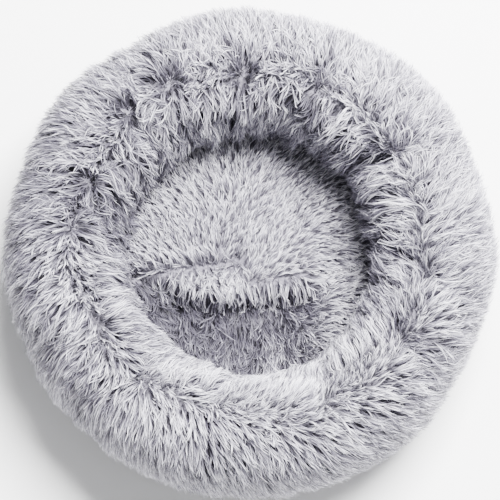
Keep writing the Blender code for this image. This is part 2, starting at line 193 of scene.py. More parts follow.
# ---- Materials ----------------------------------------------------------------------------------
def acrylic_long_pile_plush(root, mid, tip):
    """Acrylic fur, sheared and brushed: each strand is dark and matt at its root and pale and silky
    at its tip; the dark at the root is painted shade, for the little light that comes down into the
    pile. The map's length runs root to tip, its width is the tone, which also carries painted light
    and shade."""
    made, tree, shader = new_material("acrylic long-pile plush")
    strand = add_node(tree, "ShaderNodeUVMap", {"uv_map": "OFBake"})
    parts = add_node(tree, "ShaderNodeSeparateXYZ", inputs={"Vector": strand.outputs["UV"]})
    along = add_node(tree, "ShaderNodeValToRGB", inputs={"Fac": parts.outputs["Y"]})
    root, mid, tip = [(*colour, 1.0) for colour in (root, mid, tip)]
    # Painted shade: the root stops stay dark up to 0.38 of the length, for the shade deep in the
    # pile.
    set_ramp(along, ((0.0, root), (0.38, root), (0.65, mid), (0.88, tip)))
    # The width gives the tone: the pile's own random tone together with painted light and shade. Its
    # dark end is mostly painted shade.
    tone = add_node(tree, "ShaderNodeValToRGB", inputs={"Fac": parts.outputs["X"]})
    set_ramp(tone, ((0.0, "#66626e"), (0.4, "#cac8d0"), (0.75, "#fefdff")))
    mixed = add_node(
        tree,
        "ShaderNodeMix",
        {"data_type": "RGBA", "blend_type": "MULTIPLY"},
        {"Factor": 1.0, "A": along.outputs["Color"], "B": tone.outputs["Color"]},
    )
    tree.links.new(mixed.outputs["Result"], shader.inputs["Base Color"])
    shader.inputs["Roughness"].default_value = 0.58
    shader.inputs["Specular IOR Level"].default_value = 0.35
    shader.inputs["Sheen Weight"].default_value = 0.12
    shader.inputs["Sheen Roughness"].default_value = 0.4
    return made


def grained(name, scale, stops, relief, detail=5.0, distortion=0.0, roughness=0.95):
    """A material whose colour and relief follow one fine noise; relief is its depth and strength.
    Gives the material, its tree, its shader and the noise."""
    made, tree, shader = new_material(name)
    place = add_node(tree, "ShaderNodeTexCoord")
    values = {
        "Vector": place.outputs["Object"],
        "Scale": scale,
        "Detail": detail,
        "Distortion": distortion,
    }
    grain = add_node(tree, "ShaderNodeTexNoise", inputs=values).outputs["Fac"]
    colour = add_node(tree, "ShaderNodeValToRGB", inputs={"Fac": grain})
    set_ramp(colour, stops)
    values = {"Height": grain, "Distance": relief[0], "Strength": relief[1]}
    bump = add_node(tree, "ShaderNodeBump", inputs=values)
    tree.links.new(colour.outputs["Color"], shader.inputs["Base Color"])
    tree.links.new(bump.outputs["Normal"], shader.inputs["Normal"])
    shader.inputs["Roughness"].default_value = roughness
    return made, tree, shader, grain


def knitted_plush_backing():
    """The warp-knitted cloth under the pile, with its short dense underfur: matt and mauve-grey,
    darkened as painted shade where it shows deep between the locks.
    """
    # Underfur clumps are 2 to 3 mm across.
    # Painted shade: these greys are dark so that the gaps between locks and the rosettes' middles
    # look shaded.
    stops = ((0.3, "#4f4c57"), (0.7, "#7c7884"))
    return grained("knitted plush backing", 380.0, stops, (0.0015, 0.8), detail=4.0)[0]


def spunbond_nonwoven():
    """Loose fibres bonded into a sheet: a soft streaky white with no shine."""
    # Fibre bundles are about 1 mm apart.
    stops = ((0.35, "#c9c9c4"), (0.65, "#e6e6e2"))
    return grained("spunbond non-woven", 900.0, stops, (0.0002, 0.7), detail=6.0, distortion=1.5)[0]


def woven(name, light, dark, thread_mm, roughness=0.75):
    """A plain weave: two sets of threads at right angles round the bed and up it, with fine
    slubs."""
    made, tree, shader = new_material(name)
    place = add_node(tree, "ShaderNodeTexCoord")
    parts = add_node(tree, "ShaderNodeSeparateXYZ", inputs={"Vector": place.outputs["Object"]})
    waves_per_metre = math.pi * 1000 / thread_mm
    threads = []
    for axis in ("X", "Y", "Z"):
        values = {0: parts.outputs[axis], 1: waves_per_metre}
        turns = add_node(tree, "ShaderNodeMath", {"operation": "MULTIPLY"}, values)
        wave = add_node(tree, "ShaderNodeMath", {"operation": "SINE"}, {0: turns.outputs[0]})
        threads.append(wave.outputs[0])
    plan = add_node(
        tree, "ShaderNodeMath", {"operation": "MULTIPLY"}, {0: threads[0], 1: threads[1]}
    )
    cloth = add_node(
        tree, "ShaderNodeMath", {"operation": "ADD"}, {0: plan.outputs[0], 1: threads[2]}
    )
    values = {"Value": cloth.outputs[0], "From Min": -1.6, "From Max": 1.6}
    height = add_node(tree, "ShaderNodeMapRange", inputs=values)
    # Slubs are thick places in the yarn, 4 to 5 mm long.
    values = {"Vector": place.outputs["Object"], "Scale": 220.0, "Detail": 3.0}
    slub = add_node(tree, "ShaderNodeTexNoise", inputs=values)
    values = {0: slub.outputs["Fac"], 1: 0.5, 2: height.outputs[0]}
    shade = add_node(tree, "ShaderNodeMath", {"operation": "MULTIPLY_ADD"}, values)
    colour = add_node(tree, "ShaderNodeValToRGB", inputs={"Fac": shade.outputs[0]})
    set_ramp(colour, ((0.25, dark), (1.0, light)))
    values = {"Height": height.outputs[0], "Distance": 0.0002, "Strength": 0.6}
    bump = add_node(tree, "ShaderNodeBump", inputs=values)
    tree.links.new(colour.outputs["Color"], shader.inputs["Base Color"])
    tree.links.new(bump.outputs["Normal"], shader.inputs["Normal"])
    shader.inputs["Roughness"].default_value = roughness
    return made


def moulded(name, plain, worn, roughness, metallic=0.0, grain_mm=1.5):
    """A moulded, extruded or cast surface: even colour with faint flow marks, paler where it
    rubs."""
    stops = ((0.4, plain), (0.75, worn))
    made, tree, shader, grain = grained(name, 1000 / grain_mm, stops, (0.00005, 0.4))
    values = {
        "Value": grain,
        "From Min": 0.3,
        "From Max": 0.7,
        "To Min": roughness - 0.06,
        "To Max": roughness + 0.1,
    }
    shine = add_node(tree, "ShaderNodeMapRange", inputs=values)
    tree.links.new(shine.outputs[0], shader.inputs["Roughness"])
    shader.inputs["Metallic"].default_value = metallic
    return made


def matt_paper():
    """A matt paper sweep, almost white."""
    made, _, shader = new_material("matt paper sweep")
    shader.inputs["Base Color"].default_value = rgba("#fafafa")
    shader.inputs["Roughness"].default_value = 0.9
    shader.inputs["Specular IOR Level"].default_value = 0.1
    return made


# ---- Mesh helpers -------------------------------------------------------------------------------
def new_piece(mesh, finish, slot, *replaced):
    """Links a mesh as a piece of the bed, named as the mesh is, in place of these nodes."""
    obj = bpy.data.objects.new(mesh.name, mesh)
    mesh.materials.append(finish)
    bpy.context.scene.collection.objects.link(obj)
    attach(obj, "bed")
    if replaced:
        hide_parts(*replaced)
    return obj


def finish_nodes(finish, *names):
    """Gives CAD nodes that stay in view their material."""
    for name in names:
        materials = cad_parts[name].data.materials
        materials.clear()
        materials.append(finish)


def linked_mesh(name, points, loops, starts, smooth):
    """A mesh from its points, the point of each corner, and the corner at which each face
    starts."""
    mesh = bpy.data.meshes.new(name)
    mesh.vertices.add(len(points))
    mesh.vertices.foreach_set("co", np.ascontiguousarray(points, np.float32).ravel())
    mesh.loops.add(loops.size)
    mesh.loops.foreach_set("vertex_index", np.ascontiguousarray(loops, np.int32).ravel())
    mesh.polygons.add(len(starts))
    mesh.polygons.foreach_set("loop_start", np.ascontiguousarray(starts, np.int32))
    mesh.polygons.foreach_set("use_smooth", np.full(len(starts), smooth))
    mesh.update(calc_edges=True)
    return mesh


def mesh_from_arrays(name, points, faces, smooth=True):
    """A mesh from an array of points and an array of faces of one size."""
    starts = np.arange(0, faces.size, faces.shape[1])
    return linked_mesh(name, points.reshape(-1, 3), faces, starts, smooth)


def joined_meshes(parts):
    """Points and faces of several (points, faces) pairs of one face size, as one pair."""
    points, faces = zip(*parts)
    starts = np.cumsum([0] + [len(part) for part in points[:-1]])
    return np.concatenate(points), np.concatenate([f + start for f, start in zip(faces, starts)])


def on_clock(radius, turn, height):
    """Points at a radius, an angle round the bed and a height."""
    return np.stack(np.broadcast_arrays(radius * np.cos(turn), radius * np.sin(turn), height), -1)


def sheet_faces(rows, cols):
    """Quads of an open grid of points."""
    row, col = np.meshgrid(np.arange(rows - 1), np.arange(cols - 1), indexing="ij")
    corner = row * cols + col
    return np.stack([corner, corner + cols, corner + cols + 1, corner + 1], -1).reshape(-1, 4)


def closed_slab(inside, outside):
    """Points and quads of a closed slab between two grids of points of one shape."""
    rows, cols, _ = inside.shape
    face = sheet_faces(rows, cols)
    index = np.arange(rows * cols).reshape(rows, cols)
    border = np.concatenate([index[:-1, 0], index[-1, :-1], index[:0:-1, -1], index[0, :0:-1]])
    after, far = np.roll(border, -1), rows * cols
    wall = np.stack([border, after, after + far, border + far], -1)
    points = np.concatenate([inside.reshape(-1, 3), outside.reshape(-1, 3)])
    return points, np.concatenate([face, face[:, ::-1] + far, wall[:, ::-1]])


def tube(path, radius, sides=6):
    """Points and quads of a closed tube along a path, pinched shut at its two ends."""
    path = np.asarray(path, float)
    along = unit(np.gradient(path, axis=0))
    up = np.cross(along, (0.0, 0.0, 1.0))
    upright = np.linalg.norm(up, axis=1) < 1e-4
    up[upright] = np.cross(along[upright], (1.0, 0.0, 0.0))
    up = unit(up)
    turn = np.arange(sides) * 2 * math.pi / sides
    scale = np.full(len(path), radius)
    scale[[0, -1]] = radius * 0.35
    ring = np.cos(turn)[:, None] * up[:, None, :] + np.sin(turn)[:, None] * unit(
        np.cross(along, up)
    )[:, None, :]
    points = (path[:, None, :] + scale[:, None, None] * ring).reshape(-1, 3)
    rows, cols = np.meshgrid(np.arange(len(path) - 1) * sides, np.arange(sides), indexing="ij")
    after = (cols + 1) % sides
    walls = [rows + cols, rows + after, rows + sides + after, rows + sides + cols]
    cap = np.array([(0, i + 1, i + 2, (i + 3) % sides) for i in range(0, sides - 2, 2)])
    caps = [cap[:, ::-1], cap + (len(path) - 1) * sides]
    return points, np.concatenate([np.stack(walls, -1).reshape(-1, 4), *caps])


# ---- The ring's form ----------------------------------------------------------------------------
def ring_section(section, offset=0.0):
    """Radius and height at section angles in degrees, moved along the section's normal."""
    cos, sin = np.cos(np.radians(section)), np.sin(np.radians(section))
    across = np.sign(cos) * np.abs(cos) ** (2 / SQUARENESS)
    up = np.sign(sin) * np.abs(sin) ** (2 / SQUARENESS)
    normal_across = np.sign(across) * np.abs(across) ** (SQUARENESS - 1) / HALF_WIDTH
    normal_up = np.sign(up) * np.abs(up) ** (SQUARENESS - 1) / HALF_HEIGHT
    length = np.hypot(normal_across, normal_up)
    radius = RING_CENTRE + HALF_WIDTH * across + offset * normal_across / length
    height = SECTION_CENTRE + HALF_HEIGHT * up + offset * normal_up / length
    return radius, height


def soft_noise(clock, section, rng, waves=7, coarse=3, fine=11):
    """A smooth bumpy field over the ring, about -1 to 1, from a few random waves that close on
    themselves round the bed."""
    total = np.zeros(np.broadcast(clock, section).shape)
    for _ in range(waves):
        around = rng.integers(coarse, fine)
        over = rng.uniform(-3.0, 3.0)
        phase = rng.uniform(0, 2 * math.pi)
        total += np.cos(around * clock + over * np.radians(section) + phase)
    return total / math.sqrt(waves) / 1.4


def angle_between(a, b):
    """Signed difference of two angles in degrees, from -180 to 180."""
    return (a - b + 180.0) % 360.0 - 180.0


def bell(value, middle, width):
    """1 at the middle, falling away on both sides of it."""
    return np.exp(-(((value - middle) / width) ** 2))


def near_side(clock, middle, width):
    """1 at a clock angle in degrees, falling away round the bed on both sides of it."""
    return bell(angle_between(np.degrees(clock), middle), 0.0, width)


def ramp(value, start, end):
    """0 at start and 1 at end, straight between them."""
    return np.clip((value - start) / (end - start), 0.0, 1.0)


def crease_depth(clock, section):
    """How far the gathered dents pull the ring's skin in, in metres."""
    depth = np.zeros(np.broadcast(clock, section).shape)
    for middle, half_width, deep, at in CREASES:
        slanted = middle + 0.12 * (section - at)
        depth += deep * near_side(clock, slanted, half_width) * bell(section, at, 48.0)
    return depth


def ring_grid(offset):
    """The ring's skin as a grid: round the bed, then round its section from inner to outer foot."""
    clock = np.arange(RING_AROUND) * 2 * math.pi / RING_AROUND
    section = np.linspace(SECTION_FROM, SECTION_TO, RING_ACROSS)
    clock, section = np.meshgrid(clock, section, indexing="ij")
    radius, height = ring_section(section, offset)
    beyond_radius, beyond_height = ring_section(section, offset + 0.001)
    lumps = soft_noise(clock, section, np.random.default_rng(SEED))
    inside = ramp(section, 120.0, 170.0) * (1.0 - 1.4 * near_side(clock, 92.0, 55.0))
    move = (0.0030 * lumps - 0.0012 - 0.0025 * inside) * ramp(height, 0.02, 0.07)
    radius = radius + move * (beyond_radius - radius) / 0.001
    height = height + move * (beyond_height - height) / 0.001
    return on_clock(radius, clock, np.maximum(height, 0.0032))


def wrapped_faces(around, across):
    """Quads of a grid of points that closes round the bed and across."""
    rows, cols = np.meshgrid(np.arange(around), np.arange(across), indexing="ij")
    next_row, next_col = (rows + 1) % around, (cols + 1) % across
    quads = [
        next_row * across + cols,
        next_row * across + next_col,
        rows * across + next_col,
        rows * across + cols,
    ]
    return np.stack(quads, -1).reshape(-1, 4)


def coordinates(mesh):
    """The points of a mesh as an array."""
    points = np.empty(len(mesh.vertices) * 3, np.float32)
    mesh.vertices.foreach_get("co", points)
    return points.reshape(-1, 3).astype(float)


def move_points(mesh, points):
    mesh.vertices.foreach_set("co", points.astype(np.float32).ravel())
    mesh.update()


def inflate(obj, sewn, pressure, slack, cap):
    """Fills a skin like a cushion: cloth with air pressure, held at its sewn points, run for twenty
    frames. No point moves further than cap, and the cloth's shape is kept as plain mesh."""
    scene = bpy.context.scene
    frames = 20
    before = coordinates(obj.data)
    group = obj.vertex_groups.new(name="sewn")
    group.add([int(i) for i in sewn], 1.0, "REPLACE")
    cloth = obj.modifiers.new("cloth", "CLOTH")
    settings = cloth.settings
    settings.vertex_group_mass = group.name
    settings.quality = 5
    settings.mass = 0.25
    settings.tension_stiffness = settings.compression_stiffness = 12.0
    settings.bending_stiffness = 0.8
    settings.use_pressure = True
    settings.uniform_pressure_force = pressure
    settings.shrink_min = -slack
    settings.effector_weights.gravity = 0.0
    cloth.point_cache.frame_start, cloth.point_cache.frame_end = 1, frames
    for step in range(1, frames + 1):
        scene.frame_set(step)
    filled = obj.evaluated_get(bpy.context.evaluated_depsgraph_get())
    move = coordinates(filled.data) - before
    length = np.linalg.norm(move, axis=1, keepdims=True)
    move *= np.minimum(1.0, cap / np.maximum(length, 1e-9))
    obj.modifiers.remove(cloth)
    obj.vertex_groups.clear()
    scene.frame_set(1)
    move_points(obj.data, before + move)


def grid_normals(points, outward):
    """Unit normals of a grid of points that closes along its first axis."""
    around = np.roll(points, -1, axis=0) - np.roll(points, 1, axis=0)
    across = np.gradient(points, axis=1)
    normals = np.cross(around, across)
    normals /= np.linalg.norm(normals, axis=2, keepdims=True)
    return normals if (normals * outward).sum() > 0 else -normals


def sample_grid(grid, row, col):
    """Bilinear values of a grid that closes along its rows, at fractional rows and columns."""
    row = np.mod(row, grid.shape[0])
    col = np.clip(col, 0.0, grid.shape[1] - 1.001)
    low_row, low_col = np.floor(row).astype(int), np.floor(col).astype(int)
    high_row, high_col = (low_row + 1) % grid.shape[0], low_col + 1
    part_row, part_col = (row - low_row)[..., None], (col - low_col)[..., None]
    low = grid[low_row, low_col] * (1 - part_col) + grid[low_row, high_col] * part_col
    high = grid[high_row, low_col] * (1 - part_col) + grid[high_row, high_col] * part_col
    return low * (1 - part_row) + high * part_row


# ---- Strands ------------------------------------------------------------------------------------
def unit(vectors):
    return vectors / np.maximum(np.linalg.norm(vectors, axis=-1, keepdims=True), 1e-12)


def strand_mesh(name, lines, normals, half_widths, tones, starts_at, rng):
    """Flat tapered strands as one mesh. lines and normals are (locks, strands, rings, 3) arrays,
    half_widths a half width and its least and greatest share, and starts_at is for each lock the
    share of the way from root to tip at which its colour begins; a later start gives a paler root,
    as painted light."""
    locks, per_lock, rings, _ = lines.shape
    count = locks * per_lock
    lines, normals = lines.reshape(count, rings, 3), normals.reshape(count, rings, 3)
    half_width = half_widths[0] * rng.uniform(*half_widths[1:], count)
    along = unit(np.gradient(lines, axis=1))
    across = unit(np.cross(along, normals))
    twist = rng.normal(0.0, 0.55, (count, 1, 1))
    across = unit(across * np.cos(twist) + np.cross(along, across) * np.sin(twist))
    share = np.linspace(0.0, 1.0, rings)
    taper = (1.0 - 0.62 * share**1.6)[None, :-1, None] * half_width[:, None, None]
    per_strand = 2 * (rings - 1) + 1
    points = np.empty((count, per_strand, 3), np.float32)
    points[:, 0:-1:2] = lines[:, :-1] - across[:, :-1] * taper
    points[:, 1::2] = lines[:, :-1] + across[:, :-1] * taper
    points[:, -1] = lines[:, -1]
    points[:, :, 2] = np.maximum(points[:, :, 2], LEAST_PILE)
    corners, where = [], []
    margin = 0.004
    for i in range(rings - 2):
        corners += [2 * i, 2 * i + 1, 2 * i + 3, 2 * i + 2]
        low, high = share[i], share[i + 1]
        where += [(-margin, low), (margin, low), (margin, high), (-margin, high)]
    last = 2 * (rings - 2)
    corners += [last, last + 1, last + 2]
    where += [(-margin, share[-2]), (margin, share[-2]), (0.0, share[-1])]
    where = np.array(where)
    loops = np.arange(count)[:, None] * per_strand + np.array(corners)[None, :]
    sizes = np.tile([4] * (rings - 2) + [3], count)
    starts = np.concatenate([[0], np.cumsum(sizes)[:-1]])
    mesh = linked_mesh(name, points.reshape(-1, 3), loops, starts, smooth=True)
    uv = np.empty((count, len(corners), 2), np.float32)
    # The map's width is each strand's tone, with its painted light and shade.
    uv[:, :, 0] = np.clip(tones.reshape(-1, 1), 0.01, 0.99) + where[None, :, 0]
    # A later start of the colour gives a paler root: painted light.
    first = np.repeat(np.clip(starts_at, 0.01, 0.9), per_lock)[:, None]
    uv[:, :, 1] = first + (0.99 - first) * where[None, :, 1]
    mesh.uv_layers.new(name="OFBake").data.foreach_set("uv", uv.ravel())
    return mesh


def locks_to_strands(heading, facts, per_lock, rng):
    """Spreads each lock of fur into strands. Gives, for each strand and ring, the distances
    travelled
    along and across its lock's heading and its height, and each strand's tone.

    facts holds, for each lock: length, rise, spread, mess, tone, and the share of dark strands; the
    tone and the dark strands carry painted light and shade as well as the pile's own tone."""
    count = len(heading)
    strands, rings = (count, per_lock), (count, per_lock, 1)
    length, rise, spread, mess, tone, dark_share = (
        np.broadcast_to(facts[key], count)[:, None]
        for key in ("length", "rise", "spread", "mess", "tone", "dark_share")
    )
    share = np.linspace(0.0, 1.0, STRAND_RINGS)[None, None, :]
    turn = rng.uniform(0, 2 * math.pi, strands)
    reach = np.sqrt(rng.uniform(0, 1, strands)) * spread
    gather = rng.uniform(0.02, 0.16, (count, 1, 1))
    stray = rng.normal(0.0, 0.0009, rings) * mess[..., None]
    short = rng.uniform(0, 1, rings) < 0.2
    length = length[..., None] * rng.uniform(0.74, 1.08, rings)
    length = np.where(short, 0.45 * length, length)
    bend = rng.normal(0.0, 0.18, (count, 1, 1)) + rng.normal(0.0, 0.05, rings)
    bend = bend * mess[..., None] * share
    closing = (1 - share) + gather * share
    wave = 0.0006 * np.sin(share * rng.uniform(4, 8, rings) + turn[..., None]) * share
    along = (reach * np.cos(turn))[..., None] * closing + length * share * np.cos(bend)
    side = (reach * np.sin(turn))[..., None] * closing + length * share * np.sin(bend)
    side = side + stray * share**1.5 + wave
    height = rise[..., None] * rng.uniform(0.72, 1.18, rings) * share**0.7
    # Each strand's tone varies at random. The dark strands are partly the pile's own tone and partly
    # painted shade between strands.
    tones = tone + rng.normal(0.0, 0.10, strands)
    tones = tones - 0.5 * (rng.uniform(0, 1, strands) < dark_share)
    return along, side, height, tones


def parting_angle(clock):
    """The section angle of the parting along the ring's crest, which wanders and sits further in at
    the back."""
    waves = (7.0 * np.sin(clock), 4.0 * np.sin(3 * clock + 0.8), 3.0 * np.sin(7 * clock + 2.0))
    return sum(waves, 101.0)


def ring_flow(clock, section, radius):
    """The pile's lie on the ring: its part round the bed, anticlockwise, its part down the outside,
    and how near it is to the middle of a rosette at the back."""
    parting = parting_angle(clock)
    outer_swirl = 0.22 + 0.5 * near_side(clock, 345.0, 55.0)
    outer_swirl = outer_swirl + 0.35 * near_side(clock, 280.0, 35.0)
    outer_swirl = outer_swirl + 0.22 * near_side(clock, 180.0, 40.0)
    inner_swirl = 0.5 + 0.25 * np.cos(clock - math.radians(300))
    around = np.where(section < parting, outer_swirl, inner_swirl)
    down = np.tanh((parting - section) / 16.0)
    metres_per_degree = math.radians(1) * 0.062
    back = near_side(clock, 100.0, 55.0)
    rosette = np.zeros(len(clock))
    for at_clock, at_section in WHORLS:
        off_around = np.radians(angle_between(np.degrees(clock), at_clock)) * radius
        off_down = (at_section - section) * metres_per_degree
        distance = np.hypot(off_around, off_down) + 1e-6
        pull = (0.6 + 1.3 * back) * bell(distance, 0.0, 0.017) * np.minimum(distance / 0.005, 1.0)
        rosette = np.maximum(rosette, bell(distance, 0.0, 0.012))
        around = around + pull * off_around / distance
        down = down + pull * off_down / distance
    return around, down, rosette * back


class RingSkin:
    """The padded ring's surface as a grid that pile can be set on."""

    def __init__(self):
        mesh = bpy.data.objects["ring_padding"].data
        self.points = coordinates(mesh).reshape(RING_AROUND, RING_ACROSS, 3)
        outward = self.points.copy()
        reach = np.linalg.norm(outward[..., :2], axis=2, keepdims=True)
        outward[..., :2] *= 1 - RING_CENTRE / reach
        outward[..., 2] -= SECTION_CENTRE
        self.normals = grid_normals(self.points, outward)
        self.degrees_per_col = (SECTION_TO - SECTION_FROM) / (RING_ACROSS - 1)
        step = np.linalg.norm(np.gradient(self.points, axis=1), axis=2, keepdims=True)
        self.metres_per_degree = step / abs(self.degrees_per_col)

    def index(self, clock, section):
        return clock * RING_AROUND / (2 * math.pi), (section - SECTION_FROM) / self.degrees_per_col

    def at(self, clock, section):
        row, col = self.index(clock, section)
        return sample_grid(self.points, row, col), unit(sample_grid(self.normals, row, col))

    def scale_at(self, clock, section):
        return sample_grid(self.metres_per_degree, *self.index(clock, section))[..., 0]


def scattered_on_ring(skin, spacing, sections, clocks, rng):
    """Root points on a patch of the ring, evenly spread with some jitter."""
    made_clocks, made_sections = [], []
    section, last = max(sections), min(sections)
    wide = clocks[1] - clocks[0]
    while section > last:
        scale = float(skin.scale_at(np.array([sum(clocks) / 2]), np.array([section]))[0])
        radius = float(ring_section(np.array([section]), -ROOT_DEPTH)[0][0])
        count = max(int(round(radius * wide / spacing)), 1)
        clock = clocks[0] + (np.arange(count) + rng.uniform(0, 1)) / count * wide
        made_clocks.append(clock + rng.uniform(-0.5, 0.5, count) * spacing / radius)
        row_step = spacing * (0.9 - 0.35 * bell(section, CREST_MIDDLE, 20.0)) / scale
        made_sections.append(section + rng.uniform(-0.5, 0.5, count) * row_step)
        section -= row_step
    return np.concatenate(made_clocks), np.concatenate(made_sections)


def ring_locks(fur, clock, section, flow, rng):
    """The heading of each lock of the ring's pile, the facts that shape it, and where its colour
    begins: longest and calmest low on the outside, short and curled along the crest at the back, and
    darkest, as painted shade, in the rosettes, the dents and the well, with painted light and shade
    laid on by side as the light falls."""
    around, down, rosette = flow
    count = len(clock)
    noise_rng = np.random.default_rng(SEED + 7)
    drift = soft_noise(clock, section, noise_rng, waves=9, coarse=6, fine=30)
    clump = soft_noise(clock, section, noise_rng, waves=12, coarse=18, fine=60)
    past_parting = section - parting_angle(clock)
    inner = ramp(past_parting, 0.0, 25.0)
    outer = 1 - inner
    crest = bell(past_parting, 0.0, 15.0)
    back, front = near_side(clock, 92.0, 60.0), near_side(clock, 275.0, 55.0)
    right, left = near_side(clock, 5.0, 45.0), near_side(clock, 172.0, 38.0)
    painted_lit_side = near_side(clock, 50.0, 65.0) * outer
    smooth = inner * front
    curly = bell(past_parting, 0.0, 26.0) * (0.35 + 0.65 * back)
    foot = ramp(section, -42.0, 3.0)
    dent = np.clip(crease_depth(clock, section) / DEEP_CREASE, 0.0, 1.0)

    lean = np.abs(down).clip(0.0, 1.0)
    upright = np.clip(1.0 - lean + 0.5 * crest * rng.uniform(0, 1, count), 0.0, 1.0)
    upright = upright * (1 - 0.55 * rosette)
    mess = np.clip(0.85 + 1.5 * curly - 0.65 * smooth - 0.2 * front * outer, 0.15, 2.4)
    wander = (0.18 * drift + 0.11 * clump + rng.normal(0, 0.10, count)) * mess
    tumble = rng.normal(0, 0.7, count) * crest * (0.25 + 0.75 * back) * (1 - rosette)
    heading = np.arctan2(around, down) + wander + tumble

    length = fur.pile_length * (0.74 + 0.26 * foot) * (1.0 - 0.30 * curly)
    length = length * rng.uniform(0.85, 1.12, count)
    length = length * (1.0 - 0.55 * upright) * (1.0 - 0.35 * rosette)
    flattened = np.clip(0.42 - 0.40 * clump * (1 - 0.7 * smooth), 0.0, 0.75) * inner
    rise = fur.pile_rise * (0.42 + 0.58 * foot) * (1.0 + 0.75 * upright) * (1.0 + 0.13 * clump)
    rise = rise * (1.0 - 0.35 * smooth) * (1.0 - flattened - 0.2 * ramp(section, 150.0, 200.0))
    rise = rise * (1.0 + 0.25 * inner * back + 0.40 * inner * right)
    rise = rise * rng.uniform(0.8, 1.15, count) * (1.0 - 0.4 * dent)

    tone = 0.63 + rng.normal(0, 0.15, count)
    # Painted light and shade: drift and clump are the pile's own tone, and every other row paints
    # light or shade. It is painted lighter where light falls: the inside at the back and front, the
    # lit side to the back right, the outside at the front, and the crest. It is painted darker where
    # shade falls: the inner walls, the curls at the back, the foot, the inside on the right, the
    # left, the foot of the inside on the left, the deep well, the crest at the back, the dents and
    # the rosettes.
    for change, where in (
        (0.06, drift),
        (0.08, clump),
        (-0.20, inner * (1 - front)),
        (0.24, inner * back),
        (0.10, smooth),
        (-0.10, curly * back),
        (-0.20, 1 - foot),
        (-0.28, inner * right),
        (0.10, painted_lit_side),
        (0.06, outer * front),
        (-0.16, outer * left),
        (-0.06, outer * right),
        (-0.32, left * ramp(section, 145.0, 170.0)),
        (-0.18, ramp(section, 158.0, 188.0)),
        (0.10, crest),
        (-0.16, crest * back),
        (-0.22, dent),
        (-0.42, rosette),
    ):
        tone = tone + change * where
    facts = {
        "length": length,
        "rise": rise,
        "spread": fur.lock_spacing * LOCK_SPREAD,
        "mess": mess,
        "tone": tone,
        # The share of dark strands is the pile's own tone, with painted shade in more of them on the
        # left and painted light in fewer on the smooth inner front and the outer back.
        "dark_share": 0.5 - 0.34 * smooth - 0.12 * back * outer + 0.18 * left,
    }
    # Painted light: the roots begin paler on the lit side and along the crest, except in the
    # rosettes.
    starts_at = 0.15 * painted_lit_side + 0.40 * crest * (1 - 0.55 * back) * (1 - rosette)
    return heading, facts, starts_at


def ring_plush(name, skin, fur, sections, clocks, rng):
    """The pile of one panel of the ring."""
    clock, section = scattered_on_ring(skin, fur.lock_spacing, sections, clocks, rng)
    radius = ring_section(section, -ROOT_DEPTH)[0]
    flow = ring_flow(clock, section, radius)
    heading, facts, starts_at = ring_locks(fur, clock, section, flow, rng)
    along, side, height, tones = locks_to_strands(heading, facts, fur.strands_per_lock, rng)
    clock, section, radius, heading, scale = (
        values[:, None, None]
        for values in (clock, section, radius, heading, skin.scale_at(clock, section))
    )
    go_around = along * np.sin(heading) + side * np.cos(heading)
    go_down = along * np.cos(heading) - side * np.sin(heading)
    clock = clock + go_around / radius
    section = np.clip(section - go_down / scale, SECTION_TO + 1.0, SECTION_FROM - 1.0)
    points, normals = skin.at(clock, section)
    lines = draped(points + normals * height[..., None], height, clock, section)
    half_widths = (fur.strand_width / 2, 0.7, 1.2)
    return strand_mesh(name, lines, normals, half_widths, tones, starts_at, rng)


def draped(lines, rise, clock, section):
    """Keeps the pile's ends where they can hang: outside the boxing strip below the cover, clear
    of the
    floor, over the zip where the pile is shaved, and pressed a little along the crest."""
    outside = section < 60.0
    radius = np.hypot(lines[..., 0], lines[..., 1])
    hanging = outside & (lines[..., 2] < COVER_FOOT + 0.008)
    least = np.where(hanging, GUSSET_HIGH.y + 0.0012 + 0.35 * rise, 0.0)
    lines[..., :2] *= np.maximum(1.0, least / radius)[..., None]
    over_zip = ramp(-np.abs(angle_between(np.degrees(clock), 90.0)), -45.0, -40.0)
    lowest = 0.004 + (COVER_FOOT - 0.0065) * over_zip
    height = lines[..., 2]
    height = np.where(outside, np.maximum(height, lowest + 0.15 * (height - lowest)), height)
    lines[..., 2] = np.where(height > CROWN, CROWN + 0.4 * (height - CROWN), height)
    return lines


# ---- The seat's form ----------------------------------------------------------------------------
def lip_line(x):
    """Where the fold's lip runs, from left to right."""
    return FOLD_LIP + 2.2 * (x + 0.008) ** 2


def seat_height(x, y):
    """The seat's height: a dome at the back and middle, a fold whose lip hangs towards the
    front, and
    a lower front that falls away from the lip."""
    spread = np.hypot(x, y) / VISIBLE_SEAT
    edge = np.clip((spread - 0.80) / 0.20, 0.0, 1.0)
    dome = SEAT_TOP - 0.002 - 0.009 * np.clip(spread, 0, 1.4) ** 2.8 - 0.002 * edge**1.5
    lip = lip_line(x) + 0.003 * np.sin(55 * x + 1.0)
    past = np.clip((lip - y) / 0.009, 0.0, 1.0)
    step = past * past * (3 - 2 * past)
    fades = np.clip((0.105 - np.abs(x + 0.018)) / 0.05, 0.0, 1.0)
    front_fall = 0.012 * np.clip((lip - y) / 0.06, 0.0, 1.0)
    ridge = 0.004 * bell(y, lip + 0.010, 0.011)
    crease = 0.0045 * bell(y, crease_line(x), 0.005) * (x < 0.06) * (x > -0.12)
    pillow = 0.0022 * np.sin(38 * x + 0.6) * np.cos(31 * y + 0.3)
    height = dome + (ridge - (FOLD_DROP + front_fall) * step) * fades - crease + pillow
    side = np.clip(spread - 1.0, 0.0, 1.0)
    return np.maximum(height - 1.6 * side**1.15 * 0.12, LEAST_SEAT)


def crease_line(x):
    """Where the seat's two creases run, from left to right."""
    return np.where(x < -0.006, -0.019 + 0.13 * (x + 0.115), -0.029 + 0.22 * (x - 0.003))


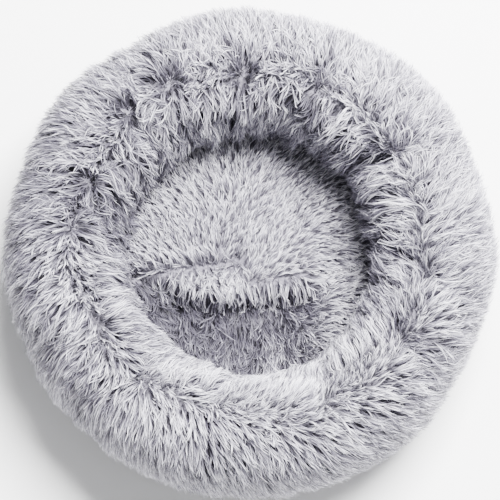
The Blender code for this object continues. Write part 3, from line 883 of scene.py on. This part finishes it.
def seat_flow(x, y):
    """The heading of the pile on the seat: it fans away from the front towards the back and
    sides, and
    hangs from the fold's lip."""
    fan = np.tanh((x - SEAT_FAN) / 0.075)
    low_right = ramp(x, 0.045, 0.085) * np.clip((0.01 - y) / 0.06, 0.0, 1.2)
    near = bell(y, crease_line(x), 0.016) * (y > crease_line(x))
    lies = np.radians(92 - 58 * fan - 50 * low_right - 25 * near * np.sign(fan))
    hangs = np.clip((crease_line(x) - y) / 0.006, 0.0, 1.0) * left_of_fold_end(x)
    falls = np.radians(np.interp(x, (-0.10, -0.05, 0.0, 0.04, 0.08), (-50, -80, -95, -60, 10)))
    go_x = np.cos(lies) * (1 - hangs) + np.cos(falls) * hangs
    go_y = np.sin(lies) * (1 - hangs) + np.sin(falls) * hangs
    return np.arctan2(go_y, go_x)


def left_of_fold_end(x):
    """1 where the fold runs, fading to 0 at its right end."""
    return np.clip((0.075 - x) / 0.03, 0.0, 1.0)


def seat_skin(obj):
    """The padded seat's heights on a square grid, read off its mesh from above."""
    tree = BVHTree.FromObject(obj, bpy.context.evaluated_depsgraph_get())
    places = np.linspace(-SEAT_RADIUS, SEAT_RADIUS, SEAT_GRID)
    heights = np.full((SEAT_GRID, SEAT_GRID, 1), LEAST_SEAT)
    for i, x in enumerate(places):
        for j, y in enumerate(places):
            hit = tree.ray_cast(Vector((x, y, 1.0)), Vector((0, 0, -1)))[0]
            if hit:
                heights[i, j, 0] = hit.z
    return heights


def seat_point(heights, x, y):
    """Points and normals on the seat at these places."""
    last, steepest = SEAT_GRID - 1.001, 1.2
    scale = (SEAT_GRID - 1) / (2 * SEAT_RADIUS)
    row, col = np.clip((x + SEAT_RADIUS) * scale, 0.0, last), (y + SEAT_RADIUS) * scale
    z = sample_grid(heights, row, col)[..., 0]
    dx = (sample_grid(heights, np.clip(row + 1, 0, last), col)[..., 0] - z) * scale
    dy = (sample_grid(heights, row, col + 1)[..., 0] - z) * scale
    dx, dy = np.clip(dx, -steepest, steepest), np.clip(dy, -steepest, steepest)
    return np.stack([x, y, z], -1), unit(np.stack([-dx, -dy, np.ones_like(dx)], -1))


def flat_noise(x, y, rng, waves, fineness):
    """A smooth bumpy field over the seat from a few random waves; fineness is in radians per
    metre."""
    total = np.zeros(len(x))
    for _ in range(waves):
        wave = rng.normal(0, fineness, 2)
        total += np.cos(wave[0] * x + wave[1] * y + rng.uniform(0, 6.3)) / 3
    return total


def seat_locks(fur, spacing, x, y, rng):
    """The heading of each lock of the seat's pile, the facts that shape it, and where its colour
    begins: a fringe along the fold's lip painted bright, as painted light, and tangled pile below it
    painted dark, as painted shade, with the seat's edge painted darker at the left and lighter at
    the right."""
    count = len(x)
    noise_rng = np.random.default_rng(SEED + 11)
    drift = flat_noise(x, y, noise_rng, 9, 45)
    clump = flat_noise(x, y, noise_rng, 12, 260)
    heading = seat_flow(x, y) + 0.30 * drift + rng.normal(0, 0.16, count)
    lip = lip_line(x)
    below = np.clip((lip - y) / 0.005, 0.0, 1.0) * left_of_fold_end(x)
    fringe = bell(y, lip + 0.008, 0.012) * left_of_fold_end(x)
    rumpled = (y < crease_line(x)) * (1 - below) * (x < 0.07)
    heading = heading + rng.normal(0, 0.45, count) * rumpled + 0.35 * clump * below
    length = fur.pile_length * (0.52 + 0.06 * below - 0.10 * fringe)
    length = length * rng.uniform(0.75, 1.15, count)
    rise = fur.pile_rise * (0.52 + (0.42 * clump + 0.06) * below + 0.34 * fringe)
    rise = rise * rng.uniform(0.8, 1.2, count)
    edge = ramp(np.hypot(x, y) / VISIBLE_SEAT, 0.80, 1.0)
    # Painted light and shade: the fringe on the lip is painted lighter, and the seat's edge is
    # painted darker where the crevice's shade falls, most on the left, and lighter on the right.
    # Drift and the random part are the pile's own tone.
    tone = 0.62 + 0.07 * drift + rng.normal(0, 0.13, count) + 0.14 * fringe - 0.06 * edge
    tone = tone + 0.14 * edge * (x > 0.05) - 0.40 * edge**2 * (x < -0.05)
    # Painted shade below the fold: darkest just under the lip, where its shadow falls, and less
    # towards the right. The clump term is the pile's own tone.
    shaded = 1.0 - 0.55 * np.clip((lip - y - 0.020) / 0.035, 0.0, 1.0) - 0.35 * ramp(x, 0.0, 0.06)
    tone = tone + below * (0.26 * clump + rng.normal(0, 0.16, count) - 0.98 * shaded)
    facts = {
        "length": length * (1.0 + 0.12 * clump),
        "rise": rise,
        "spread": spacing * LOCK_SPREAD,
        "mess": 1.0 + 1.2 * below,
        "tone": tone,
        # More dark strands below the fold are painted shade.
        "dark_share": 0.22 + 0.14 * below,
    }
    # Painted light: the roots begin paler on the seat's top, away from the fold and the edge.
    return heading, facts, 0.16 * (1 - below) * (1 - edge)


def seat_plush(name, heights, fur, rng):
    """The pile of the seat."""
    spacing = fur.lock_spacing * 0.85
    limit = VISIBLE_SEAT + 0.009
    places = np.arange(-limit, limit, spacing)
    x, y = np.meshgrid(places, places, indexing="ij")
    x = (x + rng.uniform(-0.5, 0.5, x.shape) * spacing).ravel()
    y = (y + rng.uniform(-0.5, 0.5, y.shape) * spacing).ravel()
    inside = np.hypot(x, y) < limit
    x, y = x[inside], y[inside]
    heading, facts, starts_at = seat_locks(fur, spacing, x, y, rng)
    along, side, height, tones = locks_to_strands(heading, facts, fur.strands_per_lock, rng)
    cos, sin = np.cos(heading)[:, None, None], np.sin(heading)[:, None, None]
    x = x[:, None, None] + along * cos - side * sin
    y = y[:, None, None] + along * sin + side * cos
    kept = np.minimum(1.0, (VISIBLE_SEAT + 0.016) / np.hypot(x, y))
    points, normals = seat_point(heights, x * kept, y * kept)
    lines = points + normals * height[..., None]
    half_widths = (fur.strand_width / 2, 0.6, 1.0)
    return strand_mesh(name, lines, normals, half_widths, tones, starts_at, rng)


# ---- Settings -----------------------------------------------------------------------------------
class BedPlushSettings(bpy.types.PropertyGroup):
    """The pile of the ring and the seat."""

    pile_length: FloatProperty(
        name="Pile length", description="Length of a strand on the ring", default=0.034,
        min=0.01, max=0.06, unit="LENGTH",
    )
    pile_rise: FloatProperty(
        name="Pile height", description="Height of a strand's tip over the backing", default=0.0125,
        min=0.002, max=0.03, unit="LENGTH",
    )
    lock_spacing: FloatProperty(
        name="Lock spacing", description="Distance between the roots of two locks", default=0.0046,
        min=0.004, max=0.02, unit="LENGTH",
    )
    strands_per_lock: IntProperty(
        name="Strands in a lock", description="Drawn strands in each lock",
        default=6, min=3, max=30,
    )
    strand_width: FloatProperty(
        name="Strand width", description="Width of a drawn strand, which stands for several fibres",
        default=0.0008, min=0.0002, max=0.003, unit="LENGTH",
    )
    # The root colour is painted shade: the dark deep in the pile where little light comes.
    root_colour: FloatVectorProperty(
        name="Root colour", description="Colour of the pile at its root", subtype="COLOR",
        default=linear("#55525c"), min=0, max=1,
    )
    mid_colour: FloatVectorProperty(
        name="Middle colour", description="Colour halfway up the pile", subtype="COLOR",
        default=linear("#a3a1ab"), min=0, max=1,
    )
    tip_colour: FloatVectorProperty(
        name="Tip colour", description="Colour of the pile's tips", subtype="COLOR",
        default=linear("#f6f5fb"), min=0, max=1,
    )


class BedPaddingSettings(bpy.types.PropertyGroup):
    """The stuffed forms under the pile."""

    pressure: FloatProperty(
        name="Pressure", description="Air pressure that stands for the fibre filling", default=4.0,
        min=0, max=20,
    )
    slack: FloatProperty(
        name="Slack", description="Share by which the cloth is cut larger than its form",
        default=0.03,
        min=0, max=0.2, subtype="FACTOR",
    )
    swell: FloatProperty(
        name="Most swell", description="Furthest that the padding may move a point", default=0.004,
        min=0, max=0.03, unit="LENGTH",
    )


class BedStageSettings(bpy.types.PropertyGroup):
    """The floor, lights and camera."""

    elevation: FloatProperty(
        name="Camera elevation", description="Angle of the camera above the floor",
        default=math.radians(80), min=0, max=math.pi / 2, subtype="ANGLE",
    )
    distance: FloatProperty(
        name="Camera distance", description="From the bed's middle to the camera", default=1.75,
        min=0.5, max=10, unit="LENGTH",
    )
    width: FloatProperty(
        name="View width", description="Width seen at the bed's middle", default=0.506,
        min=0.1, max=3, unit="LENGTH",
    )
    key_power: FloatProperty(
        name="Key light", description="Power of the soft light behind the bed", default=500.0,
        min=0, max=500, unit="POWER",
    )
    fill_power: FloatProperty(
        name="Fill light", description="Power of the wide light in front", default=12.0,
        min=0, max=500, unit="POWER",
    )


# ---- Operators ----------------------------------------------------------------------------------
class BED_OT_ring_padding(bpy.types.Operator):
    """Make the ring's stuffed form, filled by cloth simulation, then gathered in"""

    bl_idname = "bed.ring_padding"
    bl_label = "Ring padding"

    def execute(self, context):
        settings = context.scene.bed_padding
        points = ring_grid(-ROOT_DEPTH)
        mesh = mesh_from_arrays("ring_padding", points, wrapped_faces(RING_AROUND, RING_ACROSS))
        panels = [f"rim_{row}_panel_{side}" for row in ("inner", "outer") for side in SIDES]
        padding = new_piece(mesh, knitted_plush_backing(), "plush", "rim_filling", *panels)
        sewn = points[..., 2] < 0.012
        sewn[:, :SEWN_COLUMNS] = sewn[:, -SEWN_COLUMNS:] = True
        sewn = np.nonzero(sewn.ravel())[0]
        inflate(padding, sewn, settings.pressure, settings.slack, settings.swell)
        skin = RingSkin()
        clock = np.arange(RING_AROUND)[:, None] * 2 * math.pi / RING_AROUND
        section = np.linspace(SECTION_FROM, SECTION_TO, RING_ACROSS)[None, :]
        dent = crease_depth(clock, section) * ramp(skin.points[..., 2], 0.02, 0.06)
        move_points(mesh, skin.points - skin.normals * dent[..., None])
        return {"FINISHED"}


class BED_OT_seat_padding(bpy.types.Operator):
    """Make the seat's stuffed form with its fold, filled by cloth simulation"""

    bl_idname = "bed.seat_padding"
    bl_label = "Seat padding"

    def execute(self, context):
        line = np.linspace(-1.0, 1.0, SEAT_CLOTH)
        u, v = np.meshgrid(line, line, indexing="ij")
        # An elliptical map turns the square grid into a disc without a pole.
        x = u * np.sqrt(1 - v**2 / 2) * (VISIBLE_SEAT + 0.014)
        y = v * np.sqrt(1 - u**2 / 2) * (VISIBLE_SEAT + 0.014)
        points = np.stack([x, y, seat_height(x, y) - ROOT_DEPTH], -1)
        mesh = mesh_from_arrays("seat_padding", points, sheet_faces(SEAT_CLOTH, SEAT_CLOTH))
        close_below(mesh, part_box("seat_filling")[0].z)
        backing = bpy.data.materials["knitted plush backing"]
        padding = new_piece(mesh, backing, "plush", "seat_filling", "seat_cover")
        place = coordinates(mesh)
        rim = np.hypot(place[:, 0], place[:, 1]) > VISIBLE_SEAT + 0.006
        inflate(padding, np.nonzero(rim | (place[:, 2] < 0.02))[0], **SEAT_FILL)
        return {"FINISHED"}


def close_below(mesh, low):
    """Closes an open sheet into a pad: its border is drawn straight down and filled with a flat
    face."""
    shape = bmesh.new()
    shape.from_mesh(mesh)
    border = [edge for edge in shape.edges if edge.is_boundary]
    made = bmesh.ops.extrude_edge_only(shape, edges=border)["geom"]
    for vert in made:
        if isinstance(vert, bmesh.types.BMVert):
            vert.co.z = low
    bottom = [e for e in made if isinstance(e, bmesh.types.BMEdge) and e.is_boundary]
    bmesh.ops.holes_fill(shape, edges=bottom, sides=0)
    bmesh.ops.recalc_face_normals(shape, faces=shape.faces)
    shape.to_mesh(mesh)
    shape.free()


class BED_OT_ring_plush(bpy.types.Operator):
    """Set the long pile on the ring, one piece for each panel of fur fabric"""

    bl_idname = "bed.ring_plush"
    bl_label = "Ring plush"

    def execute(self, context):
        fur = context.scene.bed_plush
        skin = RingSkin()
        finish = acrylic_long_pile_plush(fur.root_colour, fur.mid_colour, fur.tip_colour)
        rows = {"outer": (CREST_SEAM, OUTSIDE_FOOT), "inner": (INSIDE_FOOT, CREST_SEAM)}
        for row, sections in rows.items():
            for i, side in enumerate(SIDES):
                rng = np.random.default_rng(SEED + 100 * (row == "inner") + i)
                clocks = (math.radians(90 * i - 45), math.radians(90 * i + 45))
                mesh = ring_plush(f"rim_{row}_plush_{side}", skin, fur, sections, clocks, rng)
                new_piece(mesh, finish, "plush", f"rim_{row}_panel_{side}")
        return {"FINISHED"}


class BED_OT_seat_plush(bpy.types.Operator):
    """Set the long pile on the seat"""

    bl_idname = "bed.seat_plush"
    bl_label = "Seat plush"

    def execute(self, context):
        heights = seat_skin(bpy.data.objects["seat_padding"])
        rng = np.random.default_rng(SEED + 50)
        mesh = seat_plush("seat_plush", heights, context.scene.bed_plush, rng)
        new_piece(mesh, bpy.data.materials["acrylic long-pile plush"], "plush", "seat_cover")
        return {"FINISHED"}


class BED_OT_base(bpy.types.Operator):
    """Make the woven base with its grip dots, and finish the boxing strip, binding and linings"""

    bl_idname = "bed.base"
    bl_label = "Base"

    def execute(self, context):
        oxford = woven("polyester oxford", "#8a8791", "#55525c", thread_mm=0.9)
        tape = woven("woven polyester tape", "#7d7a85", "#504d58", thread_mm=0.6)
        finish_nodes(oxford, "base_gusset")
        finish_nodes(tape, "base_binding", "seat_seam_tape", "zip_tape_upper", "zip_tape_lower")
        finish_nodes(spunbond_nonwoven(), "seat_lining")
        panel = disc_panel("base_cloth", BASE_RADIUS, DOT_LIFT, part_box("base_panel")[1].z)
        new_piece(panel, oxford, "oxford", "base_panel")
        pvc = moulded("soft PVC grip dots", "#4a4852", "#5c5a64", 0.6)
        new_piece(grip_dots(BASE_RADIUS - 0.012), pvc, "oxford", "base_panel")
        return {"FINISHED"}


def disc_panel(name, radius, low, high):
    """A flat round cloth panel with a softly rounded edge."""
    edge, steps, shares = (high - low) / 2, 96, (0.25, 0.5, 0.75)
    rings = [(radius * share, high) for share in shares]
    rings += [(radius - edge, high), (radius, low + edge), (radius - edge, low)]
    rings += [(radius * share, low) for share in reversed(shares)]
    turn = np.arange(steps) * 2 * math.pi / steps
    shape = bmesh.new()
    loops = [[shape.verts.new(point) for point in on_clock(r, turn, z)] for r, z in rings]
    for upper, lower in zip(loops, loops[1:]):
        for i in range(steps):
            after = (i + 1) % steps
            shape.faces.new((upper[i], upper[after], lower[after], lower[i]))
    shape.faces.new(loops[0])
    shape.faces.new(loops[-1])
    bmesh.ops.recalc_face_normals(shape, faces=shape.faces)
    mesh = bpy.data.meshes.new(name)
    shape.to_mesh(mesh)
    shape.free()
    return mesh


def grip_dots(radius):
    """Low domes of PVC over the underside, in staggered rows 15 mm apart."""
    pitch, dot, sides = 0.015, 0.0022, 8
    turn = np.arange(sides) * 2 * math.pi / sides
    rings = ((dot, DOT_LIFT + 0.0002), (dot * 0.85, DOT_LIFT * 0.35), (dot * 0.4, 0.0))
    dome = np.concatenate([on_clock(r, turn, z) for r, z in rings])
    low = np.arange(2 * sides)
    after = np.roll(low.reshape(2, sides), -1, axis=1).ravel()
    walls = np.stack([low, low + sides, after + sides, after], -1)
    cap = np.array([(0, i, i + 1, i + 2) for i in (1, 3, 5)])
    faces = np.concatenate([walls, cap, cap[:, ::-1] + 2 * sides])
    parts = []
    rows = int(radius / pitch) + 1
    for i in range(-rows, rows + 1):
        for j in range(-rows, rows + 1):
            x, y = (i + 0.5 * (j % 2)) * pitch, j * pitch * 0.866
            if math.hypot(x, y) < radius:
                parts.append((dome + (x, y, 0.0), faces))
    return mesh_from_arrays("grip_dots", *joined_meshes(parts))


class BED_OT_crest_tape(bpy.types.Operator):
    """Lay the woven tape that backs the crest seam, just under the ring's skin"""

    bl_idname = "bed.crest_tape"
    bl_label = "Crest tape"

    def execute(self, context):
        clock = np.arange(RING_AROUND)[:, None] * 2 * math.pi / RING_AROUND
        section = CREST_SEAM + np.array([[4.0, 4.0, -4.0, -4.0]])
        below = np.array([0.0010, 0.0018, 0.0018, 0.0010])[None, :, None]
        points, normals = RingSkin().at(*np.broadcast_arrays(clock, section))
        faces = wrapped_faces(RING_AROUND, 4)
        mesh = mesh_from_arrays("crest_tape", points - normals * below, faces, smooth=False)
        tape = bpy.data.materials["woven polyester tape"]
        new_piece(mesh, tape, "webbing", "crest_seam_tape")
        return {"FINISHED"}


class BED_OT_stitching(bpy.types.Operator):
    """Sew the visible rows of thread along the boxing strip and the zip tapes"""

    bl_idname = "bed.stitching"
    bl_label = "Stitching"

    def execute(self, context):
        thread = moulded("bonded polyester thread", "#b6b3bd", "#d2d0d8", 0.55, grain_mm=0.4)
        zip_end, inset = math.pi - ZIP_START, 0.002
        outside, tape_outside = max(GUSSET_HIGH.y, -GUSSET_LOW.y), ZIP_RADIUS + 0.0003
        heights = (GUSSET_LOW.z + 0.0025, GUSSET_HIGH.z - 0.0025)
        rows = [stitch_row(outside, h, zip_end, math.pi + 2 * ZIP_START) for h in heights]
        heights = (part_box("zip_tape_lower")[0].z + inset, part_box("zip_tape_upper")[1].z - inset)
        rows += [stitch_row(tape_outside, h, ZIP_START, zip_end - ZIP_START) for h in heights]
        mesh = mesh_from_arrays("base_stitching", *joined_meshes(rows))
        new_piece(mesh, thread, "webbing")
        return {"FINISHED"}


def stitch_row(radius, height, start, angle):
    """A row of 3 mm stitches on an upright wall: each dips into the cloth at both ends."""
    pitch, length, thick = 0.0042, 0.0030, 0.00032
    count = int(radius * angle / pitch)
    share = np.linspace(-0.5, 0.5, 5)
    out = radius + 0.9 * thick * (1 - 4 * share**2)
    parts = []
    for i in range(count):
        turn = start + (i + 0.5) * angle / count + share * length / radius
        parts.append(tube(on_clock(out, turn, height), thick))
    return joined_meshes(parts)


class BED_OT_zip(bpy.types.Operator):
    """Wind the zip's coils, tab its ends, back it, and plate its slider, pull and stops"""

    bl_idname = "bed.zip"
    bl_label = "Zip"

    def execute(self, context):
        nylon = moulded("nylon monofilament coil", "#8f8c97", "#a9a6b0", 0.38, grain_mm=0.8)
        for name, side, shift in (("upper", 1, 0.0), ("lower", -1, 0.5)):
            points, faces = tube(coil_path(side, shift), COIL_WIRE)
            mesh = mesh_from_arrays(f"coil_{name}", points, faces)
            new_piece(mesh, nylon, "nylon", f"zip_coil_{name}")
        tape = bpy.data.materials["woven polyester tape"]
        new_piece(end_tabs(), tape, "webbing")
        new_piece(placket(), tape, "webbing")
        zinc = moulded(
            "nickel-plated die-cast zinc", "#8d8d94", "#b4b4ba", 0.3, metallic=1.0, grain_mm=2.0
        )
        finish_nodes(zinc, "zip_slider", "zip_pull", "zip_bottom_stop")
        finish_nodes(zinc, "zip_top_stop_upper", "zip_top_stop_lower")
        return {"FINISHED"}


def end_tabs():
    """A folded tab of tape over each end of the zip, between its tapes, padded a little by its
    fold."""
    gap, thick, crown = 0.0002, 0.0005, 0.0005
    low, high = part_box("zip_tape_lower")[1].z + gap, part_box("zip_tape_upper")[0].z - gap
    stop_end = math.acos(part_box("zip_bottom_stop")[0].x / COIL_HIGH.y)
    tape_end = math.pi - ZIP_TAPE_START
    across, up = np.meshgrid(np.linspace(-1, 1, 9), np.linspace(-1, 1, 7), indexing="ij")
    swell = crown * (1 - across**4) * (1 - up**4)
    height = (low + high) / 2 + up * (high - low) / 2
    middle, half = (stop_end + tape_end) / 2, (tape_end - stop_end) / 2 - gap / ZIP_RADIUS
    parts = []
    for side in (1, -1):
        turn = math.pi / 2 + side * (middle - math.pi / 2) + across * half
        back = on_clock(ZIP_RADIUS - thick / 2 - swell / 2, turn, height)
        parts.append(closed_slab(back, on_clock(ZIP_RADIUS + thick / 2 + swell, turn, height)))
    return mesh_from_arrays("zip_end_tabs", *joined_meshes(parts))


def placket():
    """The strip of tape behind the zip, clear of its slider, that keeps the filling off its
    teeth."""
    thick, gap, lap = 0.0006, 0.0003, math.radians(0.5)
    outside = math.hypot(*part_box("zip_slider")[0].xy) - gap
    turn = np.linspace(ZIP_TAPE_START - lap, math.pi - ZIP_TAPE_START + lap, 73)[:, None]
    height = np.linspace(GUSSET_LOW.z + gap, GUSSET_HIGH.z - gap, 4)[None, :]
    layers = [on_clock(radius, turn, height) for radius in (outside - thick, outside)]
    return mesh_from_arrays("zip_placket", *closed_slab(*layers))


def coil_path(side, shift):
    """A flattened helix along the zip, on one side of its line; shift is a share of a turn."""
    pitch, deep = 0.0015, 0.00072
    tall = (COIL_HIGH.z - COIL_LOW.z) / 2 - COIL_WIRE
    middle = ZIP_HEIGHT + side * ((COIL_HIGH.z + COIL_LOW.z) / 2 - ZIP_HEIGHT)
    angle = math.pi - 2 * ZIP_START
    turns = int(ZIP_RADIUS * angle / pitch)
    share = np.linspace(0.0, 1.0, turns * 12)
    phase = 2 * math.pi * turns * share
    along = ZIP_START + (share + shift / turns) * (angle * (1 - 1 / turns))
    height = middle + side * tall * np.sin(phase)
    return on_clock(ZIP_RADIUS + deep * np.cos(phase), along, height)


class BED_OT_care_label(bpy.types.Operator):
    """Fold the blank satin label that is sewn into the base seam"""

    bl_idname = "bed.care_label"
    bl_label = "Care label"

    def execute(self, context):
        low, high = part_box("care_label")
        middle = (low + high) / 2
        width, drop = 0.018, high.z - low.z
        across, down = 13, 15
        side, fall = np.linspace(-0.5, 0.5, across), np.linspace(0.0, 1.0, down)
        side, fall = np.meshgrid(side, fall, indexing="ij")
        curl = 0.0007 * np.sin(3.1 * fall) + 0.0005 * np.sin(6.0 * side + 1.0) * fall
        out = Vector((middle.x, middle.y)).normalized()
        radius = math.hypot(middle.x, middle.y) + curl
        x = radius * out.x - side * width * out.y
        y = radius * out.y + side * width * out.x
        points = np.stack([x, y, high.z - fall * drop], -1)
        mesh = mesh_from_arrays("satin_label", points, sheet_faces(across, down)[:, [0, 3, 2, 1]])
        satin = woven("woven satin ribbon", "#f2f1ee", "#dcdbd8", thread_mm=0.4, roughness=0.5)
        label = new_piece(mesh, satin, "satin", "care_label")
        thick = label.modifiers.new("thickness", "SOLIDIFY")
        thick.thickness = 0.0004
        return {"FINISHED"}


class BED_OT_stage(bpy.types.Operator):
    """Set up the pale floor, the soft lights and the camera"""

    bl_idname = "bed.stage"
    bl_label = "Stage"

    def execute(self, context):
        settings = context.scene.bed_stage
        half, low = 6.0, -0.0002
        corners = np.array([(-1, -1), (1, -1), (1, 1), (-1, 1)]) * half
        points = np.column_stack([corners, np.full(4, low)])
        mesh = mesh_from_arrays("floor", points, np.array([(0, 1, 2, 3)]), smooth=False)
        mesh.materials.append(matt_paper())
        floor = bpy.data.objects.new("floor", mesh)
        context.scene.collection.objects.link(floor)
        self.lights(context, settings)
        self.camera(context, settings)
        return {"FINISHED"}

    def lights(self, context, settings):
        """A key high behind and to the right, a weak fill in front, and an even white surround."""
        lamps = (
            ("key", settings.key_power, 1.1, (0.66, 0.95, 2.02)),
            ("fill", settings.fill_power, 1.8, (0.30, -0.95, 1.90)),
        )
        for name, power, size, place in lamps:
            light = bpy.data.lights.new(name, "AREA")
            light.energy, light.size = power, size
            lamp = bpy.data.objects.new(name, light)
            lamp.location = place
            aim = Vector((0, 0, 0.05)) - lamp.location
            lamp.rotation_euler = aim.to_track_quat("-Z", "Y").to_euler()
            context.scene.collection.objects.link(lamp)
        world = bpy.data.worlds.new("surround")
        world.use_nodes = True
        background = world.node_tree.nodes["Background"]
        background.inputs["Color"].default_value = rgba("#f7f8fb")
        background.inputs["Strength"].default_value = 0.42
        context.scene.world = world

    def camera(self, context, settings):
        """A long lens on the bed's middle, from the front and nearly overhead."""
        lens = bpy.data.cameras.new("camera")
        camera = bpy.data.objects.new("camera", lens)
        centre = Vector((0.0, 0.0, BED_HEIGHT * 0.5))
        back = Vector((0.0, -math.cos(settings.elevation), math.sin(settings.elevation)))
        camera.location = centre + back * settings.distance
        camera.rotation_euler = (-back).to_track_quat("-Z", "Y").to_euler()
        lens.lens = lens.sensor_width * settings.distance / settings.width
        context.scene.collection.objects.link(camera)
        context.scene.camera = camera


# ---- Panel and registration ---------------------------------------------------------------------
OPERATORS = (
    BED_OT_ring_padding,
    BED_OT_seat_padding,
    BED_OT_ring_plush,
    BED_OT_seat_plush,
    BED_OT_base,
    BED_OT_crest_tape,
    BED_OT_stitching,
    BED_OT_zip,
    BED_OT_care_label,
    BED_OT_stage,
)


class BED_PT_sidebar(bpy.types.Panel):
    """The bed's operators and sizes"""

    bl_idname = "BED_PT_sidebar"
    bl_label = "Pet Bed"
    bl_space_type = "VIEW_3D"
    bl_region_type = "UI"
    bl_category = "Pet Bed"

    def draw(self, context):
        for group in (context.scene.bed_plush, context.scene.bed_padding, context.scene.bed_stage):
            box = self.layout.box()
            for key in group.bl_rna.properties.keys():
                if key not in ("rna_type", "name"):
                    box.prop(group, key)
        for operator in OPERATORS:
            self.layout.operator(operator.bl_idname)


SETTINGS = {
    "bed_plush": BedPlushSettings,
    "bed_padding": BedPaddingSettings,
    "bed_stage": BedStageSettings,
}


def register():
    for group in (*SETTINGS.values(), *OPERATORS, BED_PT_sidebar):
        bpy.utils.register_class(group)
    for name, group in SETTINGS.items():
        setattr(bpy.types.Scene, name, PointerProperty(type=group))


def unregister():
    for name in SETTINGS:
        delattr(bpy.types.Scene, name)
    for group in (BED_PT_sidebar, *reversed(OPERATORS), *reversed(list(SETTINGS.values()))):
        bpy.utils.unregister_class(group)


def main():
    register()
    for operator in OPERATORS:
        group, name = operator.bl_idname.split(".")
        getattr(getattr(bpy.ops, group), name)()


if __name__ == "__main__":
    main()
